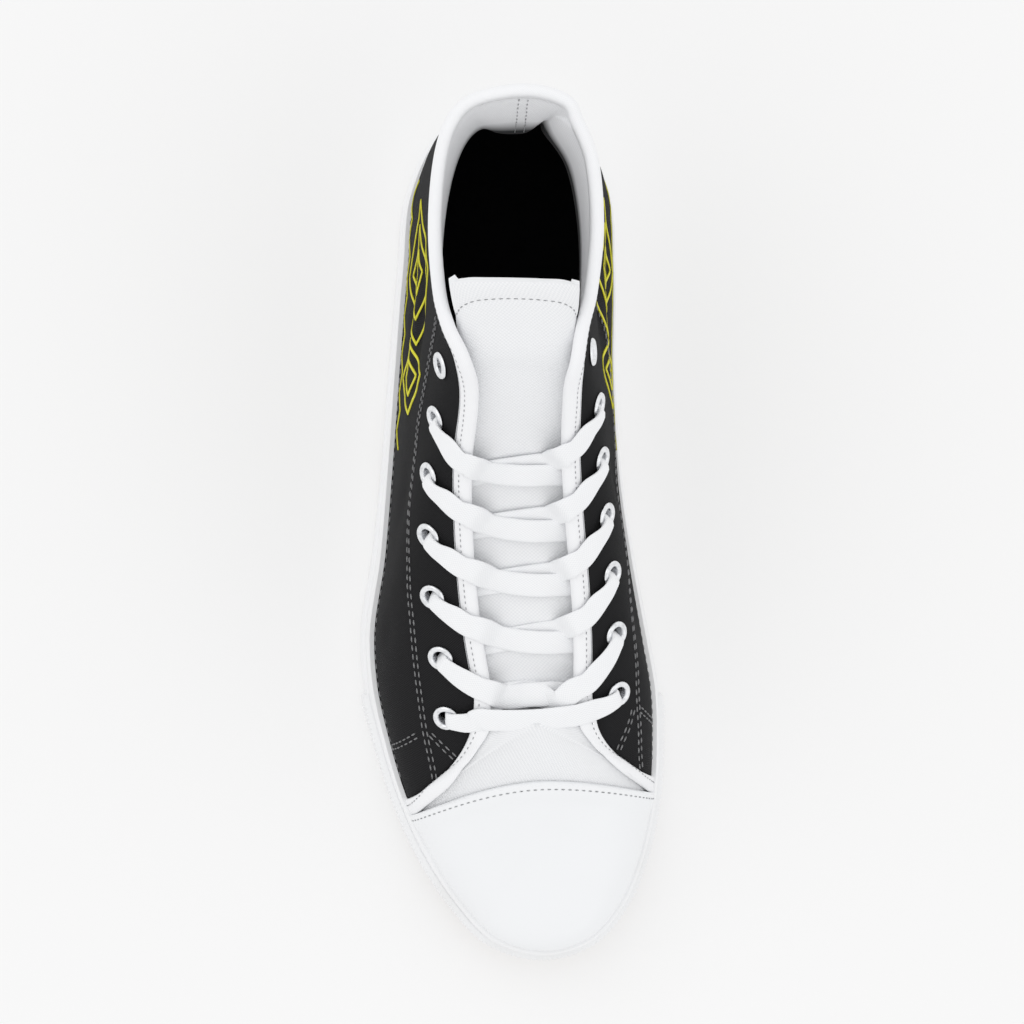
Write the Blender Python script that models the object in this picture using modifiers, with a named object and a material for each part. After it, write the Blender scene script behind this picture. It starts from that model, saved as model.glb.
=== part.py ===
"""High top sneaker for the right foot: canvas upper on a rubber sole, standing empty on the floor.

Lengths are metres. The model is worked out in shoe measures: side (towards the big toe is
positive), along (from the heel end to the toe end) and up. shoe_to_world() turns them into the
world, where the toe points to -Y, the big toe side is +X and the floor is Z = 0.
"""
import math
from collections import namedtuple

import bmesh
import bpy
import numpy as np
from mathutils import Matrix, Vector

# Driving sizes of the last and the sole
SOLE_LENGTH = 0.2885
BALL_WIDTH = 0.1024
HEEL_WIDTH = 0.0715
COLLAR_HEIGHT = 0.138
INSTEP_HEIGHT = 0.060
TOE_HEIGHT = 0.044
TOE_SPRING = 0.009
ARCH_LIFT = 0.0012

# Clearance between pieces that touch on the real shoe
GAP = 0.0003

# Sole
FOXING_HEIGHT = 0.031
FOXING_THICKNESS = 0.003
FOXING_STEP = 0.0007
FOXING_STEP_SHARE = 0.60
FOXING_ROUND = 0.0015
FOXING_GROUND_CLEARANCE = 0.0008
HEEL_SEAT = 0.0185
OUTSOLE_THICKNESS = 0.0045
LUG_DEPTH = 0.002
LUG_RIM_WIDTH = 0.009
LUG_BAR_LENGTH = 0.0095
LUG_GROOVE_LENGTH = 0.0045
LUG_CHEVRON = 0.005
INSOLE_THICKNESS = 0.0035
BUMPER_THICKNESS = 0.0011
BUMPER_RIB_DEPTH = 0.0005
BUMPER_RIB_PITCH = 0.0050
BUMPER_START = 0.695
BUMPER_BOTTOM_MARGIN = 0.0012

# Upper
VAMP_WALL = 0.0016
QUARTER_STEP = 0.0007
TOE_CAP_THICKNESS = 0.0013
TOE_CAP_STRIP_WIDTH = 0.0055
TOE_CAP_STRIP_RISE = 0.0006
BINDING_WIDTH = 0.0056
BINDING_OUTSIDE = 0.0014
BINDING_INSIDE = 0.0028
BINDING_STRIP_THICKNESS = 0.0013
BINDING_TURN_LENGTH = 0.0168
STRIP_GAP = 0.0006
TONGUE_THICKNESS = 0.0026
TONGUE_CROWN = 0.75
TONGUE_UNDERLAP = 0.009
TONGUE_TUCK = 0.010
TONGUE_RISE = 0.0275
TONGUE_CORNER = 0.003
TONGUE_FLARE = 0.11
TONGUE_PINCH = 0.17
TONGUE_FOOT = 0.70

# Eyelets and lace
EYELET_COUNT = 7
LACE_CROSSINGS = EYELET_COUNT - 2
EYELET_SETBACK = 0.0088
EYELET_HOLE_RADIUS = 0.0024
EYELET_BARREL_WALL = 0.0003
EYELET_FLANGE_RADIUS = 0.0044
EYELET_FLANGE_HEIGHT = 0.0009
LACE_WIDTH = 0.0078
LACE_THICKNESS = 0.0012
LACE_CLEARANCE = 0.0015
LACE_CROSSING_LIFT = 0.0005
LACE_BAR_LIFT = 0.0013
LACE_BAR_SETBACK = 0.0024

# Resolution of the facets
WALL_STEPS = 8
TONGUE_COLUMNS = 9
EYELET_SIDES = 8
OUTLINE_FINENESS = 24

# Shares of the tongue's width at which the lace rests on it
LACE_REST_SHARES = (0.36, 0.50, 0.64)

# Outline of the foxing from heel to toe. station is a share of SOLE_LENGTH. lateral and medial
# are shares of the local width, which goes from HEEL_WIDTH at ball 0 to BALL_WIDTH at ball 1.
# lean is how far the sidewall's top leans in, in shares of FOXING_THICKNESS.
OutlineRow = namedtuple("OutlineRow", "station lateral medial ball lean")
HEEL_END = OutlineRow(0.000, 0.004, 0.004, 0.00, 0.0)
OUTLINE = [
    OutlineRow(0.010, -0.171, 0.168, 0.00, 0.0),
    OutlineRow(0.049, -0.368, 0.364, 0.00, 0.0),
    OutlineRow(0.111, -0.485, 0.478, 0.00, 0.0),
    OutlineRow(0.198, -0.523, 0.506, 0.00, 0.0),
    OutlineRow(0.315, -0.520, 0.470, 0.20, 0.1),
    OutlineRow(0.437, -0.497, 0.447, 0.50, 0.2),
    OutlineRow(0.530, -0.486, 0.459, 0.75, 0.4),
    OutlineRow(0.631, -0.489, 0.480, 1.00, 0.5),
    OutlineRow(0.686, -0.478, 0.507, 1.00, 0.5),
    OutlineRow(0.749, -0.433, 0.507, 1.00, 0.3),
    OutlineRow(0.818, -0.371, 0.493, 1.00, 0.2),
    OutlineRow(0.884, -0.287, 0.452, 1.00, 0.2),
    OutlineRow(0.939, -0.186, 0.386, 1.00, 0.2),
    OutlineRow(0.981, -0.073, 0.283, 1.00, 0.2),
]
TOE_END = OutlineRow(1.000, 0.115, 0.115, 1.00, 0.2)

# Heights along the sole above its own underside: foxing in shares of FOXING_HEIGHT, seat, where
# the insole lies, in shares of HEEL_SEAT.
LevelRow = namedtuple("LevelRow", "station foxing seat")
LEVELS = [
    LevelRow(0.00, 1.00, 1.00),
    LevelRow(0.22, 0.97, 1.00),
    LevelRow(0.42, 0.88, 0.88),
    LevelRow(0.58, 0.83, 0.66),
    LevelRow(0.70, 0.82, 0.57),
    LevelRow(0.85, 0.81, 0.56),
    LevelRow(1.00, 0.80, 0.56),
]
SPRING_START = 0.69
SPRING_POWER = 1.8
ARCH_START = 0.30
ARCH_END = 0.52

# Columns of the upper, from the back of the heel round to the toe, the same on both sides.
# lateral_base and medial_base: where the column stands on the outline, shares of SOLE_LENGTH.
# top: where it ends along the shoe. lateral_top and medial_top: its end sideways, shares of the
# local width as above. climb: its end upwards, 0 at TOE_HEIGHT, 1 at INSTEP_HEIGHT and 2 at
# COLLAR_HEIGHT. rise and spread: upward and outward pull at the foot of the column, drop the
# pull down at its top, all shares of its height. reach and lead: pull at the top back towards
# the foot, sideways and along the shoe, shares of those distances. pitch: slope of the top line
# towards the toe. parts: columns from here to the next row.
Row = namedtuple("Row", "name lateral_base medial_base top lateral_top medial_top climb ball "
                        "rise spread reach lead drop pitch parts")
WALL = [
    Row("back", 0.0, 0.0, 0.028, -0.02, -0.02, 2.0, 0.0, 0.33, 0.03, 0.0, -0.6, 0.45, 0.0, 2),
    Row("heel turn", 0.014, 0.014, 0.038, -0.24, 0.16, 1.985, 0.0, 0.33, 0.03, 0.0, -0.3, 0.45, 0.0, 2),
    Row("heel side", 0.049, 0.049, 0.062, -0.341, 0.221, 1.96, 0.0, 0.33, 0.03, 0.0, 0.0, 0.42, 0.0, 2),
    Row("heel", 0.104, 0.104, 0.104, -0.393, 0.288, 1.93, 0.0, 0.33, 0.03, 0.0, 0.0, 0.4, 0.0, 2),
    Row("seat", 0.18, 0.18, 0.173, -0.414, 0.312, 1.905, 0.0, 0.34, 0.02, 0.0, 0.0, 0.38, 0.0, 2),
    Row("ankle", 0.263, 0.263, 0.243, -0.397, 0.285, 1.93, 0.0, 0.36, 0.015, 0.1, 0.1, 0.34, 0.0, 2),
    Row("shank", 0.336, 0.336, 0.284, -0.364, 0.249, 1.985, 0.0, 0.38, 0.01, 0.26, 0.2, 0.22, -0.2, 2),
    Row("collar corner", 0.399, 0.399, 0.319, -0.298, 0.227, 1.965, 0.1, 0.4, 0.01, 0.4, 0.3, 0.15, -0.5, 1),
    Row("top eyelet", 0.458, 0.458, 0.36, -0.264, 0.218, 1.82, 0.2, 0.42, 0.0, 0.48, 0.34, 0.11, -0.65, 1),
    Row("arch", 0.52, 0.52, 0.419, -0.267, 0.217, 1.62, 0.35, 0.44, 0.0, 0.52, 0.36, 0.08, -0.65, 2),
    Row("instep", 0.582, 0.582, 0.485, -0.247, 0.229, 1.44, 0.5, 0.46, 0.0, 0.52, 0.38, 0.06, -0.65, 2),
    Row("joint", 0.645, 0.645, 0.555, -0.217, 0.245, 1.285, 0.65, 0.5, 0.0, 0.48, 0.42, 0.05, -0.6, 2),
    Row("ball", 0.704, 0.704, 0.624, -0.179, 0.251, 1.16, 0.8, 0.54, 0.0, 0.42, 0.44, 0.05, -0.55, 2),
    Row("low eyelet", 0.758, 0.748, 0.679, -0.142, 0.248, 1.065, 0.92, 0.56, 0.0, 0.3, 0.5, 0.03, -0.5, 1),
    Row("throat corner", 0.818, 0.789, 0.711, -0.132, 0.257, 0.99, 1.0, 0.56, 0.0, 0.05, 0.6, 0.02, -0.46, 1),
    Row("vamp edge", 0.823, 0.796, 0.717, -0.039, 0.166, 1.035, 1.0, 0.58, 0.0, 0.22, 0.42, 0.0, -0.48, 1),
    Row("ridge start", 0.829, 0.802, 0.721, 0.066, 0.066, 1.055, 1.0, 0.6, 0.0, 0.38, 0.22, 0.0, -0.48, 1),
    Row("cap edge", 0.836, 0.808, 0.787, 0.112, 0.112, 0.68, 1.0, 0.64, 0.0, 0.52, 0.0, 0.0, -0.4, 2),
    Row("cap side", 0.888, 0.87, 0.842, 0.13, 0.13, 0.33, 1.0, 0.68, 0.0, 0.54, 0.1, 0.0, -0.32, 2),
    Row("toe side", 0.937, 0.929, 0.884, 0.135, 0.135, 0.13, 1.0, 0.72, 0.0, 0.56, 0.3, 0.0, -0.26, 2),
    Row("toe turn", 0.976, 0.974, 0.906, 0.135, 0.135, 0.03, 1.0, 0.76, 0.0, 0.58, 0.5, 0.0, -0.24, 2),
    Row("toe", 1.0, 1.0, 0.914, 0.135, 0.135, 0.0, 1.0, 0.78, 0.0, 0.58, 0.58, 0.0, -0.23, 0),
]
ROW = {row.name: index for index, row in enumerate(WALL)}
CORNER = ROW["throat corner"]
RIDGE = ROW["ridge start"]
CAP = ROW["cap edge"]
TOE = ROW["toe"]
COLLAR_CORNER = ROW["collar corner"]

LATERAL = "lateral"
MEDIAL = "medial"
SIDES = (LATERAL, MEDIAL)

# Where the lowest and the highest eyelet sit along the shoe, shares of SOLE_LENGTH
EYELET_STATIONS = {LATERAL: (0.714, 0.322), MEDIAL: (0.687, 0.308)}


def smooth_curve(knots, rows, closed=False):
    """A smooth curve through rows of numbers, one row at each knot, as a function of the knot."""
    knots = np.asarray(knots, float)
    rows = np.asarray(rows, float).reshape(len(knots), -1)
    steps = np.diff(knots)
    slopes = np.diff(rows, axis=0) / steps[:, None]
    tangents = np.empty_like(rows)
    before = steps[:-1, None]
    after = steps[1:, None]
    tangents[1:-1] = (slopes[:-1] * after + slopes[1:] * before) / (before + after)
    tangents[0] = slopes[0]
    tangents[-1] = slopes[-1]
    if closed:
        seam = (slopes[-1] * steps[0] + slopes[0] * steps[-1]) / (steps[0] + steps[-1])
        tangents[0] = seam
        tangents[-1] = seam

    def at(knot):
        index = int(np.clip(np.searchsorted(knots, knot) - 1, 0, len(steps) - 1))
        step = steps[index]
        t = (knot - knots[index]) / step
        near = (2 * t ** 3 - 3 * t ** 2 + 1) * rows[index]
        leaving = (t ** 3 - 2 * t ** 2 + t) * step * tangents[index]
        far = (3 * t ** 2 - 2 * t ** 3) * rows[index + 1]
        arriving = (t ** 3 - t ** 2) * step * tangents[index + 1]
        return near + leaving + far + arriving

    return at


def unit(vector):
    return vector / np.linalg.norm(vector)


def local_width(ball):
    return HEEL_WIDTH + ball * (BALL_WIDTH - HEEL_WIDTH)


# The outline as one closed curve from the heel end, up the lateral side and back down the medial

def outline_rows():
    """Corner points of the outline with their lean: side, along, lean."""
    rows = [(HEEL_END.lateral * local_width(HEEL_END.ball), 0.0, HEEL_END.lean)]
    for row in OUTLINE:
        rows.append((row.lateral * local_width(row.ball), row.station * SOLE_LENGTH, row.lean))
    rows.append((TOE_END.lateral * local_width(TOE_END.ball), SOLE_LENGTH, TOE_END.lean))
    for row in reversed(OUTLINE):
        rows.append((row.medial * local_width(row.ball), row.station * SOLE_LENGTH, row.lean))
    rows.append(rows[0])
    return np.array(rows)


def chord_knots(points):
    """Distance along a line of points, from its first one."""
    lengths = np.linalg.norm(np.diff(np.asarray(points, float), axis=0), axis=1)
    return np.concatenate([[0.0], np.cumsum(lengths)])


OUTLINE_POINTS = outline_rows()
OUTLINE_KNOTS = chord_knots(OUTLINE_POINTS[:, :2])
OUTLINE_CURVE = smooth_curve(OUTLINE_KNOTS, OUTLINE_POINTS, closed=True)
HALF_ROWS = len(OUTLINE) + 1
TOE_KNOT = OUTLINE_KNOTS[HALF_ROWS]
TURN_KNOT = OUTLINE_KNOTS[-1]


def outline_samples():
    """Knots spread finely round the outline, with the place of each."""
    knots = []
    for low, high in zip(OUTLINE_KNOTS[:-1], OUTLINE_KNOTS[1:]):
        knots.extend(np.linspace(low, high, OUTLINE_FINENESS, endpoint=False))
    knots.append(TURN_KNOT)
    return np.array(knots), np.array([OUTLINE_CURVE(knot) for knot in knots])


SAMPLE_KNOTS, SAMPLE_POINTS = outline_samples()
BUMPER_REACH = GAP + BUMPER_THICKNESS + BUMPER_RIB_DEPTH


def world_centre():
    """Middle of the whole shoe seen from above, with the toe bumper on the outline."""
    ahead = SAMPLE_POINTS[:, 1] > BUMPER_START * SOLE_LENGTH
    grown = np.where(ahead, BUMPER_REACH, 0.0)
    right = np.max(SAMPLE_POINTS[:, 0] + grown)
    left = np.min(SAMPLE_POINTS[:, 0] - grown)
    front = np.max(SAMPLE_POINTS[:, 1]) + BUMPER_REACH
    return 0.5 * (left + right), 0.5 * (np.min(SAMPLE_POINTS[:, 1]) + front)


CENTRE_SIDE, CENTRE_ALONG = world_centre()


def shoe_to_world(point):
    return Vector((point[0] - CENTRE_SIDE, CENTRE_ALONG - point[1], point[2]))


def direction_to_world(vector):
    return Vector((vector[0], -vector[1], vector[2]))


def knot_at(side, station):
    """Knot of the outline's point at a station on one side."""
    along = station * SOLE_LENGTH
    lateral = SAMPLE_KNOTS <= TOE_KNOT
    mask = lateral if side == LATERAL else ~lateral | (SAMPLE_KNOTS == TOE_KNOT)
    knots = SAMPLE_KNOTS[mask]
    places = SAMPLE_POINTS[mask, 1]
    if station >= 1.0:
        return TOE_KNOT
    if side == MEDIAL:
        knots = knots[::-1]
        places = places[::-1]
    return float(np.interp(along, places, knots))


def rim(knot):
    """Place on the outline, its inward direction and its lean."""
    knot = knot % TURN_KNOT
    here = OUTLINE_CURVE(knot)
    step = 0.0005
    ahead = OUTLINE_CURVE((knot + step) % TURN_KNOT)[:2]
    behind = OUTLINE_CURVE((knot - step) % TURN_KNOT)[:2]
    tangent = unit(ahead - behind)
    return here[:2], np.array([tangent[1], -tangent[0]]), here[2]


def ground(along):
    """Height of the sole's underside above the floor."""
    share = along / SOLE_LENGTH
    spring = np.clip((share - SPRING_START) / (1 - SPRING_START), 0, 1)
    arch = np.clip((share - ARCH_START) / (ARCH_END - ARCH_START), 0, 1)
    return TOE_SPRING * spring ** SPRING_POWER + ARCH_LIFT * math.sin(math.pi * arch) ** 2


LEVEL_CURVE = smooth_curve([row.station for row in LEVELS], [(row.foxing, row.seat) for row in LEVELS])


def foxing_top(along):
    return ground(along) + FOXING_HEIGHT * LEVEL_CURVE(np.clip(along / SOLE_LENGTH, 0, 1))[0]


def step_level(along):
    """Height of the step in the foxing's face."""
    return ground(along) + FOXING_STEP_SHARE * (foxing_top(along) - ground(along))


def seat_level(along):
    return ground(along) + HEEL_SEAT * LEVEL_CURVE(np.clip(along / SOLE_LENGTH, 0, 1))[1]


def side_point(knot, inset, up):
    """Point on the leaning sidewall, inset from the outline, at a height. up gets the along."""
    place, inward, lean = rim(knot)
    height = up(place[1])
    rise = (height - ground(place[1])) / (foxing_top(place[1]) - ground(place[1]))
    level = place + inward * (inset + lean * FOXING_THICKNESS * rise)
    return np.array([level[0], level[1], height])


# The upper's wall as a surface of columns

UPPER_INSET = FOXING_THICKNESS + GAP + QUARTER_STEP


def top_point(row, side):
    """Top of a column on one side."""
    share = row.lateral_top if side == LATERAL else row.medial_top
    up = float(np.interp(row.climb, (0, 1, 2), (TOE_HEIGHT, INSTEP_HEIGHT, COLLAR_HEIGHT)))
    return (share * local_width(row.ball), row.top * SOLE_LENGTH, up)


def top_curves():
    """Top line of the wall on each side: opening edge, vamp edge and ridge, joined at corners."""
    curves = {}
    for side in SIDES:
        tops = [top_point(row, side) for row in WALL]
        mirrored = [top_point(WALL[1], MEDIAL if side == LATERAL else LATERAL)] + tops[:CORNER + 1]
        curves[side] = [
            smooth_curve(range(-1, CORNER + 1), mirrored),
            smooth_curve(range(CORNER, RIDGE + 1), tops[CORNER:RIDGE + 1]),
            smooth_curve(range(RIDGE, TOE + 1), tops[RIDGE:]),
        ]
    return curves


TOP_CURVES = top_curves()
PULL_CURVE = smooth_curve(range(TOE + 1), [(row.rise, row.spread, row.reach, row.lead, row.drop, row.pitch)
                                           for row in WALL])
BASE_KNOTS = {
    LATERAL: [knot_at(LATERAL, row.lateral_base) for row in WALL],
    MEDIAL: [TURN_KNOT] + [knot_at(MEDIAL, row.medial_base) for row in WALL[1:]],
}


def base_knot(side, column):
    return float(np.interp(column, range(TOE + 1), BASE_KNOTS[side]))


def top_at(side, column):
    if column <= CORNER:
        return TOP_CURVES[side][0](column)
    if column <= RIDGE:
        return TOP_CURVES[side][1](column)
    return TOP_CURVES[side][2](column)


def wall_foot(side, column):
    """Lower edge of the wall, on the insole's seat, inside the foxing."""
    return side_point(base_knot(side, column), UPPER_INSET, lambda along: seat_level(along) + GAP)


def column_handles(side, column):
    """Four control points of a column, from the foxing's top edge to the top line."""
    knot = base_knot(side, column)
    start = side_point(knot, UPPER_INSET, lambda along: foxing_top(along) + GAP)
    inward = rim(knot)[1]
    top = top_at(side, column)
    rise, spread, reach, lead, drop, pitch = PULL_CURVE(column)
    height = top[2] - start[2]
    low = start + height * np.array([-inward[0] * spread, -inward[1] * spread, rise])
    back = start[:2] - top[:2]
    ahead = lead * back[1]
    high = top + np.array([reach * back[0], ahead, pitch * ahead - drop * height])
    return start, low, high, top


def wall(side, column, t):
    """Point of the wall's base surface: t is 0 at the foxing's top and 1 at the top line."""
    start, low, high, top = column_handles(side, column)
    s = 1 - t
    return s ** 3 * start + 3 * s * s * t * low + 3 * s * t * t * high + t ** 3 * top


def wall_normal(side, column, t):
    """Outward direction of the wall's base surface."""
    if t == 1.0 and column >= RIDGE:
        return unit(np.array([0.0, -PULL_CURVE(column)[5], 1.0]))
    step = 0.02
    low = max(0.0, min(column, TOE) - step)
    high = min(float(TOE), column + step)
    if low < CORNER < high:
        low = max(column, CORNER) if column >= CORNER else low
        high = min(high, CORNER) if column < CORNER else high
    if low < RIDGE < high:
        low = low if column <= RIDGE else max(low, RIDGE)
        high = min(high, RIDGE) if column <= RIDGE else high
    across = wall(side, high, t) - wall(side, low, t)
    if column < step or column > TOE - step:
        inward = rim(base_knot(side, column))[1]
        across = np.array([inward[1], -inward[0], 0.0])
    climb = wall(side, column, min(1.0, t + step)) - wall(side, column, max(0.0, t - step))
    normal = unit(np.cross(across, climb))
    outward = np.append(-rim(base_knot(side, column))[1], 1.0)
    return normal if np.dot(normal, outward) > 0 else -normal


def column_steps():
    """Column numbers from the back to the toe, parts of them between two rows."""
    columns = []
    for index, row in enumerate(WALL[:-1]):
        columns.extend(index + part / row.parts for part in range(row.parts))
    columns.append(float(TOE))
    return columns


COLUMNS = column_steps()
LOOP = [(LATERAL, column) for column in COLUMNS] + [(MEDIAL, column) for column in COLUMNS[-2:0:-1]]
LOOP_KNOTS = [base_knot(side, column) for side, column in LOOP]
T_STEPS = [step / WALL_STEPS for step in range(WALL_STEPS + 1)]

# Scene, collections and materials

for thing in list(bpy.data.objects):
    bpy.data.objects.remove(thing, do_unlink=True)


def new_collection(name):
    collection = bpy.data.collections.new(name)
    bpy.context.scene.collection.children.link(collection)
    return collection


SHOE = new_collection("high_top_sneaker")
CUTTERS = new_collection("cutters")


def finish(name, color, roughness, metallic=0.0):
    material = bpy.data.materials.new(name)
    material.use_nodes = True
    shader = material.node_tree.nodes["Principled BSDF"]
    shader.inputs["Base Color"].default_value = (*color, 1.0)
    shader.inputs["Roughness"].default_value = roughness
    shader.inputs["Metallic"].default_value = metallic
    return material


def solid(name, points, faces, color, roughness, metallic=0.0, collection=SHOE):
    """One closed mesh object from points in shoe measures."""
    mesh = bpy.data.meshes.new(name)
    mesh.from_pydata([shoe_to_world(point) for point in points], [], faces)
    work = bmesh.new()
    work.from_mesh(mesh)
    bmesh.ops.remove_doubles(work, verts=work.verts, dist=0.00001)
    bmesh.ops.dissolve_degenerate(work, dist=0.00001, edges=work.edges)
    bmesh.ops.recalc_face_normals(work, faces=work.faces)
    work.to_mesh(mesh)
    work.free()
    mesh.shade_smooth()
    mesh.set_sharp_from_angle(angle=math.radians(35))
    thing = bpy.data.objects.new(name, mesh)
    mesh.materials.append(finish(name, color, roughness, metallic))
    collection.objects.link(thing)
    return thing


def sweep(sections, closed=False):
    """Points and faces of a closed section carried through places, with flat ends or as a ring."""
    count = len(sections[0])
    points = [point for section in sections for point in section]
    faces = []
    turns = len(sections) if closed else len(sections) - 1
    for index in range(turns):
        here = index * count
        there = (index + 1) % len(sections) * count
        for corner in range(count):
            after = (corner + 1) % count
            faces.append((here + corner, here + after, there + after, there + corner))
    if not closed:
        last = (len(sections) - 1) * count
        faces.append(tuple(range(count)))
        faces.append(tuple(last + corner for corner in reversed(range(count))))
    return points, faces


def slab(upper_loop, lower_loop):
    """Points and faces of a plate whose outline is the loop of columns."""
    count = len(upper_loop)
    points = list(upper_loop) + list(lower_loop)
    faces = []
    for index in range(count):
        after = (index + 1) % count
        faces.append((index, after, count + after, count + index))
    for index in range(count // 2):
        band = [index, index + 1, count - index - 1, (count - index) % count]
        band = list(dict.fromkeys(band))
        faces.append(tuple(band))
        faces.append(tuple(count + corner for corner in reversed(band)))
    return points, faces


def plate(top_grid, bottom_grid):
    """Points and faces of the solid between two grids of the same rows and columns."""
    rows, columns = top_grid.shape[:2]
    points = list(top_grid.reshape(-1, 3)) + list(bottom_grid.reshape(-1, 3))
    under = rows * columns
    faces = []
    for row in range(rows - 1):
        for column in range(columns - 1):
            corner = row * columns + column
            quad = (corner, corner + 1, corner + columns + 1, corner + columns)
            faces.append(quad)
            faces.append(tuple(under + index for index in reversed(quad)))
    border = [column for column in range(columns)]
    border += [row * columns + columns - 1 for row in range(1, rows)]
    border += [(rows - 1) * columns + column for column in range(columns - 2, -1, -1)]
    border += [row * columns for row in range(rows - 2, 0, -1)]
    for here, there in zip(border, border[1:] + border[:1]):
        faces.append((here, there, under + there, under + here))
    return points, faces


def grid_normals(grid):
    """Upward directions of a grid of points, from its rows and columns."""
    down = np.gradient(grid, axis=0)
    across = np.gradient(grid, axis=1)
    normals = np.cross(across, down)
    normals /= np.linalg.norm(normals, axis=2, keepdims=True)
    flip = np.where(normals[:, :, 2:3] < 0, -1.0, 1.0)
    return normals * flip


# Sole

def loop_at(inset, up):
    return [side_point(knot, inset, up) for knot in LOOP_KNOTS]


def make_midsole():
    inset = FOXING_THICKNESS + GAP
    top = loop_at(inset, seat_level)
    bottom = loop_at(inset, lambda along: ground(along) + OUTSOLE_THICKNESS + GAP)
    points, faces = slab(top, bottom)
    solid("midsole", points, faces, (0.80, 0.80, 0.78), 0.7)


def make_insole():
    inset = UPPER_INSET + VAMP_WALL + GAP
    top = loop_at(inset, lambda along: seat_level(along) + GAP + INSOLE_THICKNESS)
    bottom = loop_at(inset, lambda along: seat_level(along) + GAP)
    points, faces = slab(top, bottom)
    solid("insole", points, faces, (0.02, 0.02, 0.02), 0.9)


def make_foxing():
    """Rubber band round the sole: a thick lower face, a step to the upper band and a round top."""
    def low_edge(along):
        return ground(along) + FOXING_GROUND_CLEARANCE

    profile = [
        (0.0, low_edge),
        (0.0, step_level),
        (FOXING_STEP, lambda along: step_level(along) + FOXING_STEP),
        (FOXING_STEP, lambda along: foxing_top(along) - FOXING_ROUND),
        (FOXING_ROUND, foxing_top),
        (FOXING_THICKNESS, foxing_top),
        (FOXING_THICKNESS, low_edge),
    ]
    sections = [[side_point(knot, inset, up) for inset, up in profile] for knot in LOOP_KNOTS]
    points, faces = sweep(sections, closed=True)
    solid("foxing", points, faces, (0.86, 0.87, 0.88), 0.45)


def make_toe_bumper():
    """Ribbed strip round the toe, on the thick lower face of the foxing."""
    start = knot_at(LATERAL, BUMPER_START)
    end = knot_at(MEDIAL, BUMPER_START)
    ribs = round((end - start) / BUMPER_RIB_PITCH)
    loop_knots = np.array(LOOP_KNOTS)
    loop_knots[0] = 0.0

    def low_level(along):
        return ground(along) + FOXING_GROUND_CLEARANCE + BUMPER_BOTTOM_MARGIN

    def high_level(along):
        return step_level(along) - GAP

    def faceted(knot, inset, up):
        """Point on the flat facet between two neighbouring columns."""
        index = int(np.clip(np.searchsorted(loop_knots, knot) - 1, 0, len(loop_knots) - 2))
        share = (knot - loop_knots[index]) / (loop_knots[index + 1] - loop_knots[index])
        first = side_point(loop_knots[index], inset, up)
        second = side_point(loop_knots[index + 1], inset, up)
        return first + share * (second - first)

    sections = []
    for step in range(2 * ribs + 1):
        knot = start + (end - start) * step / (2 * ribs)
        face = -GAP - BUMPER_THICKNESS - (BUMPER_RIB_DEPTH if step % 2 else 0.0)
        sections.append([
            faceted(knot, -GAP, low_level),
            faceted(knot, face, low_level),
            faceted(knot, face, lambda along: high_level(along) - BUMPER_THICKNESS),
            faceted(knot, -GAP, high_level),
        ])
    points, faces = sweep(sections)
    solid("toe_bumper", points, faces, (0.86, 0.87, 0.88), 0.5)


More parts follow.
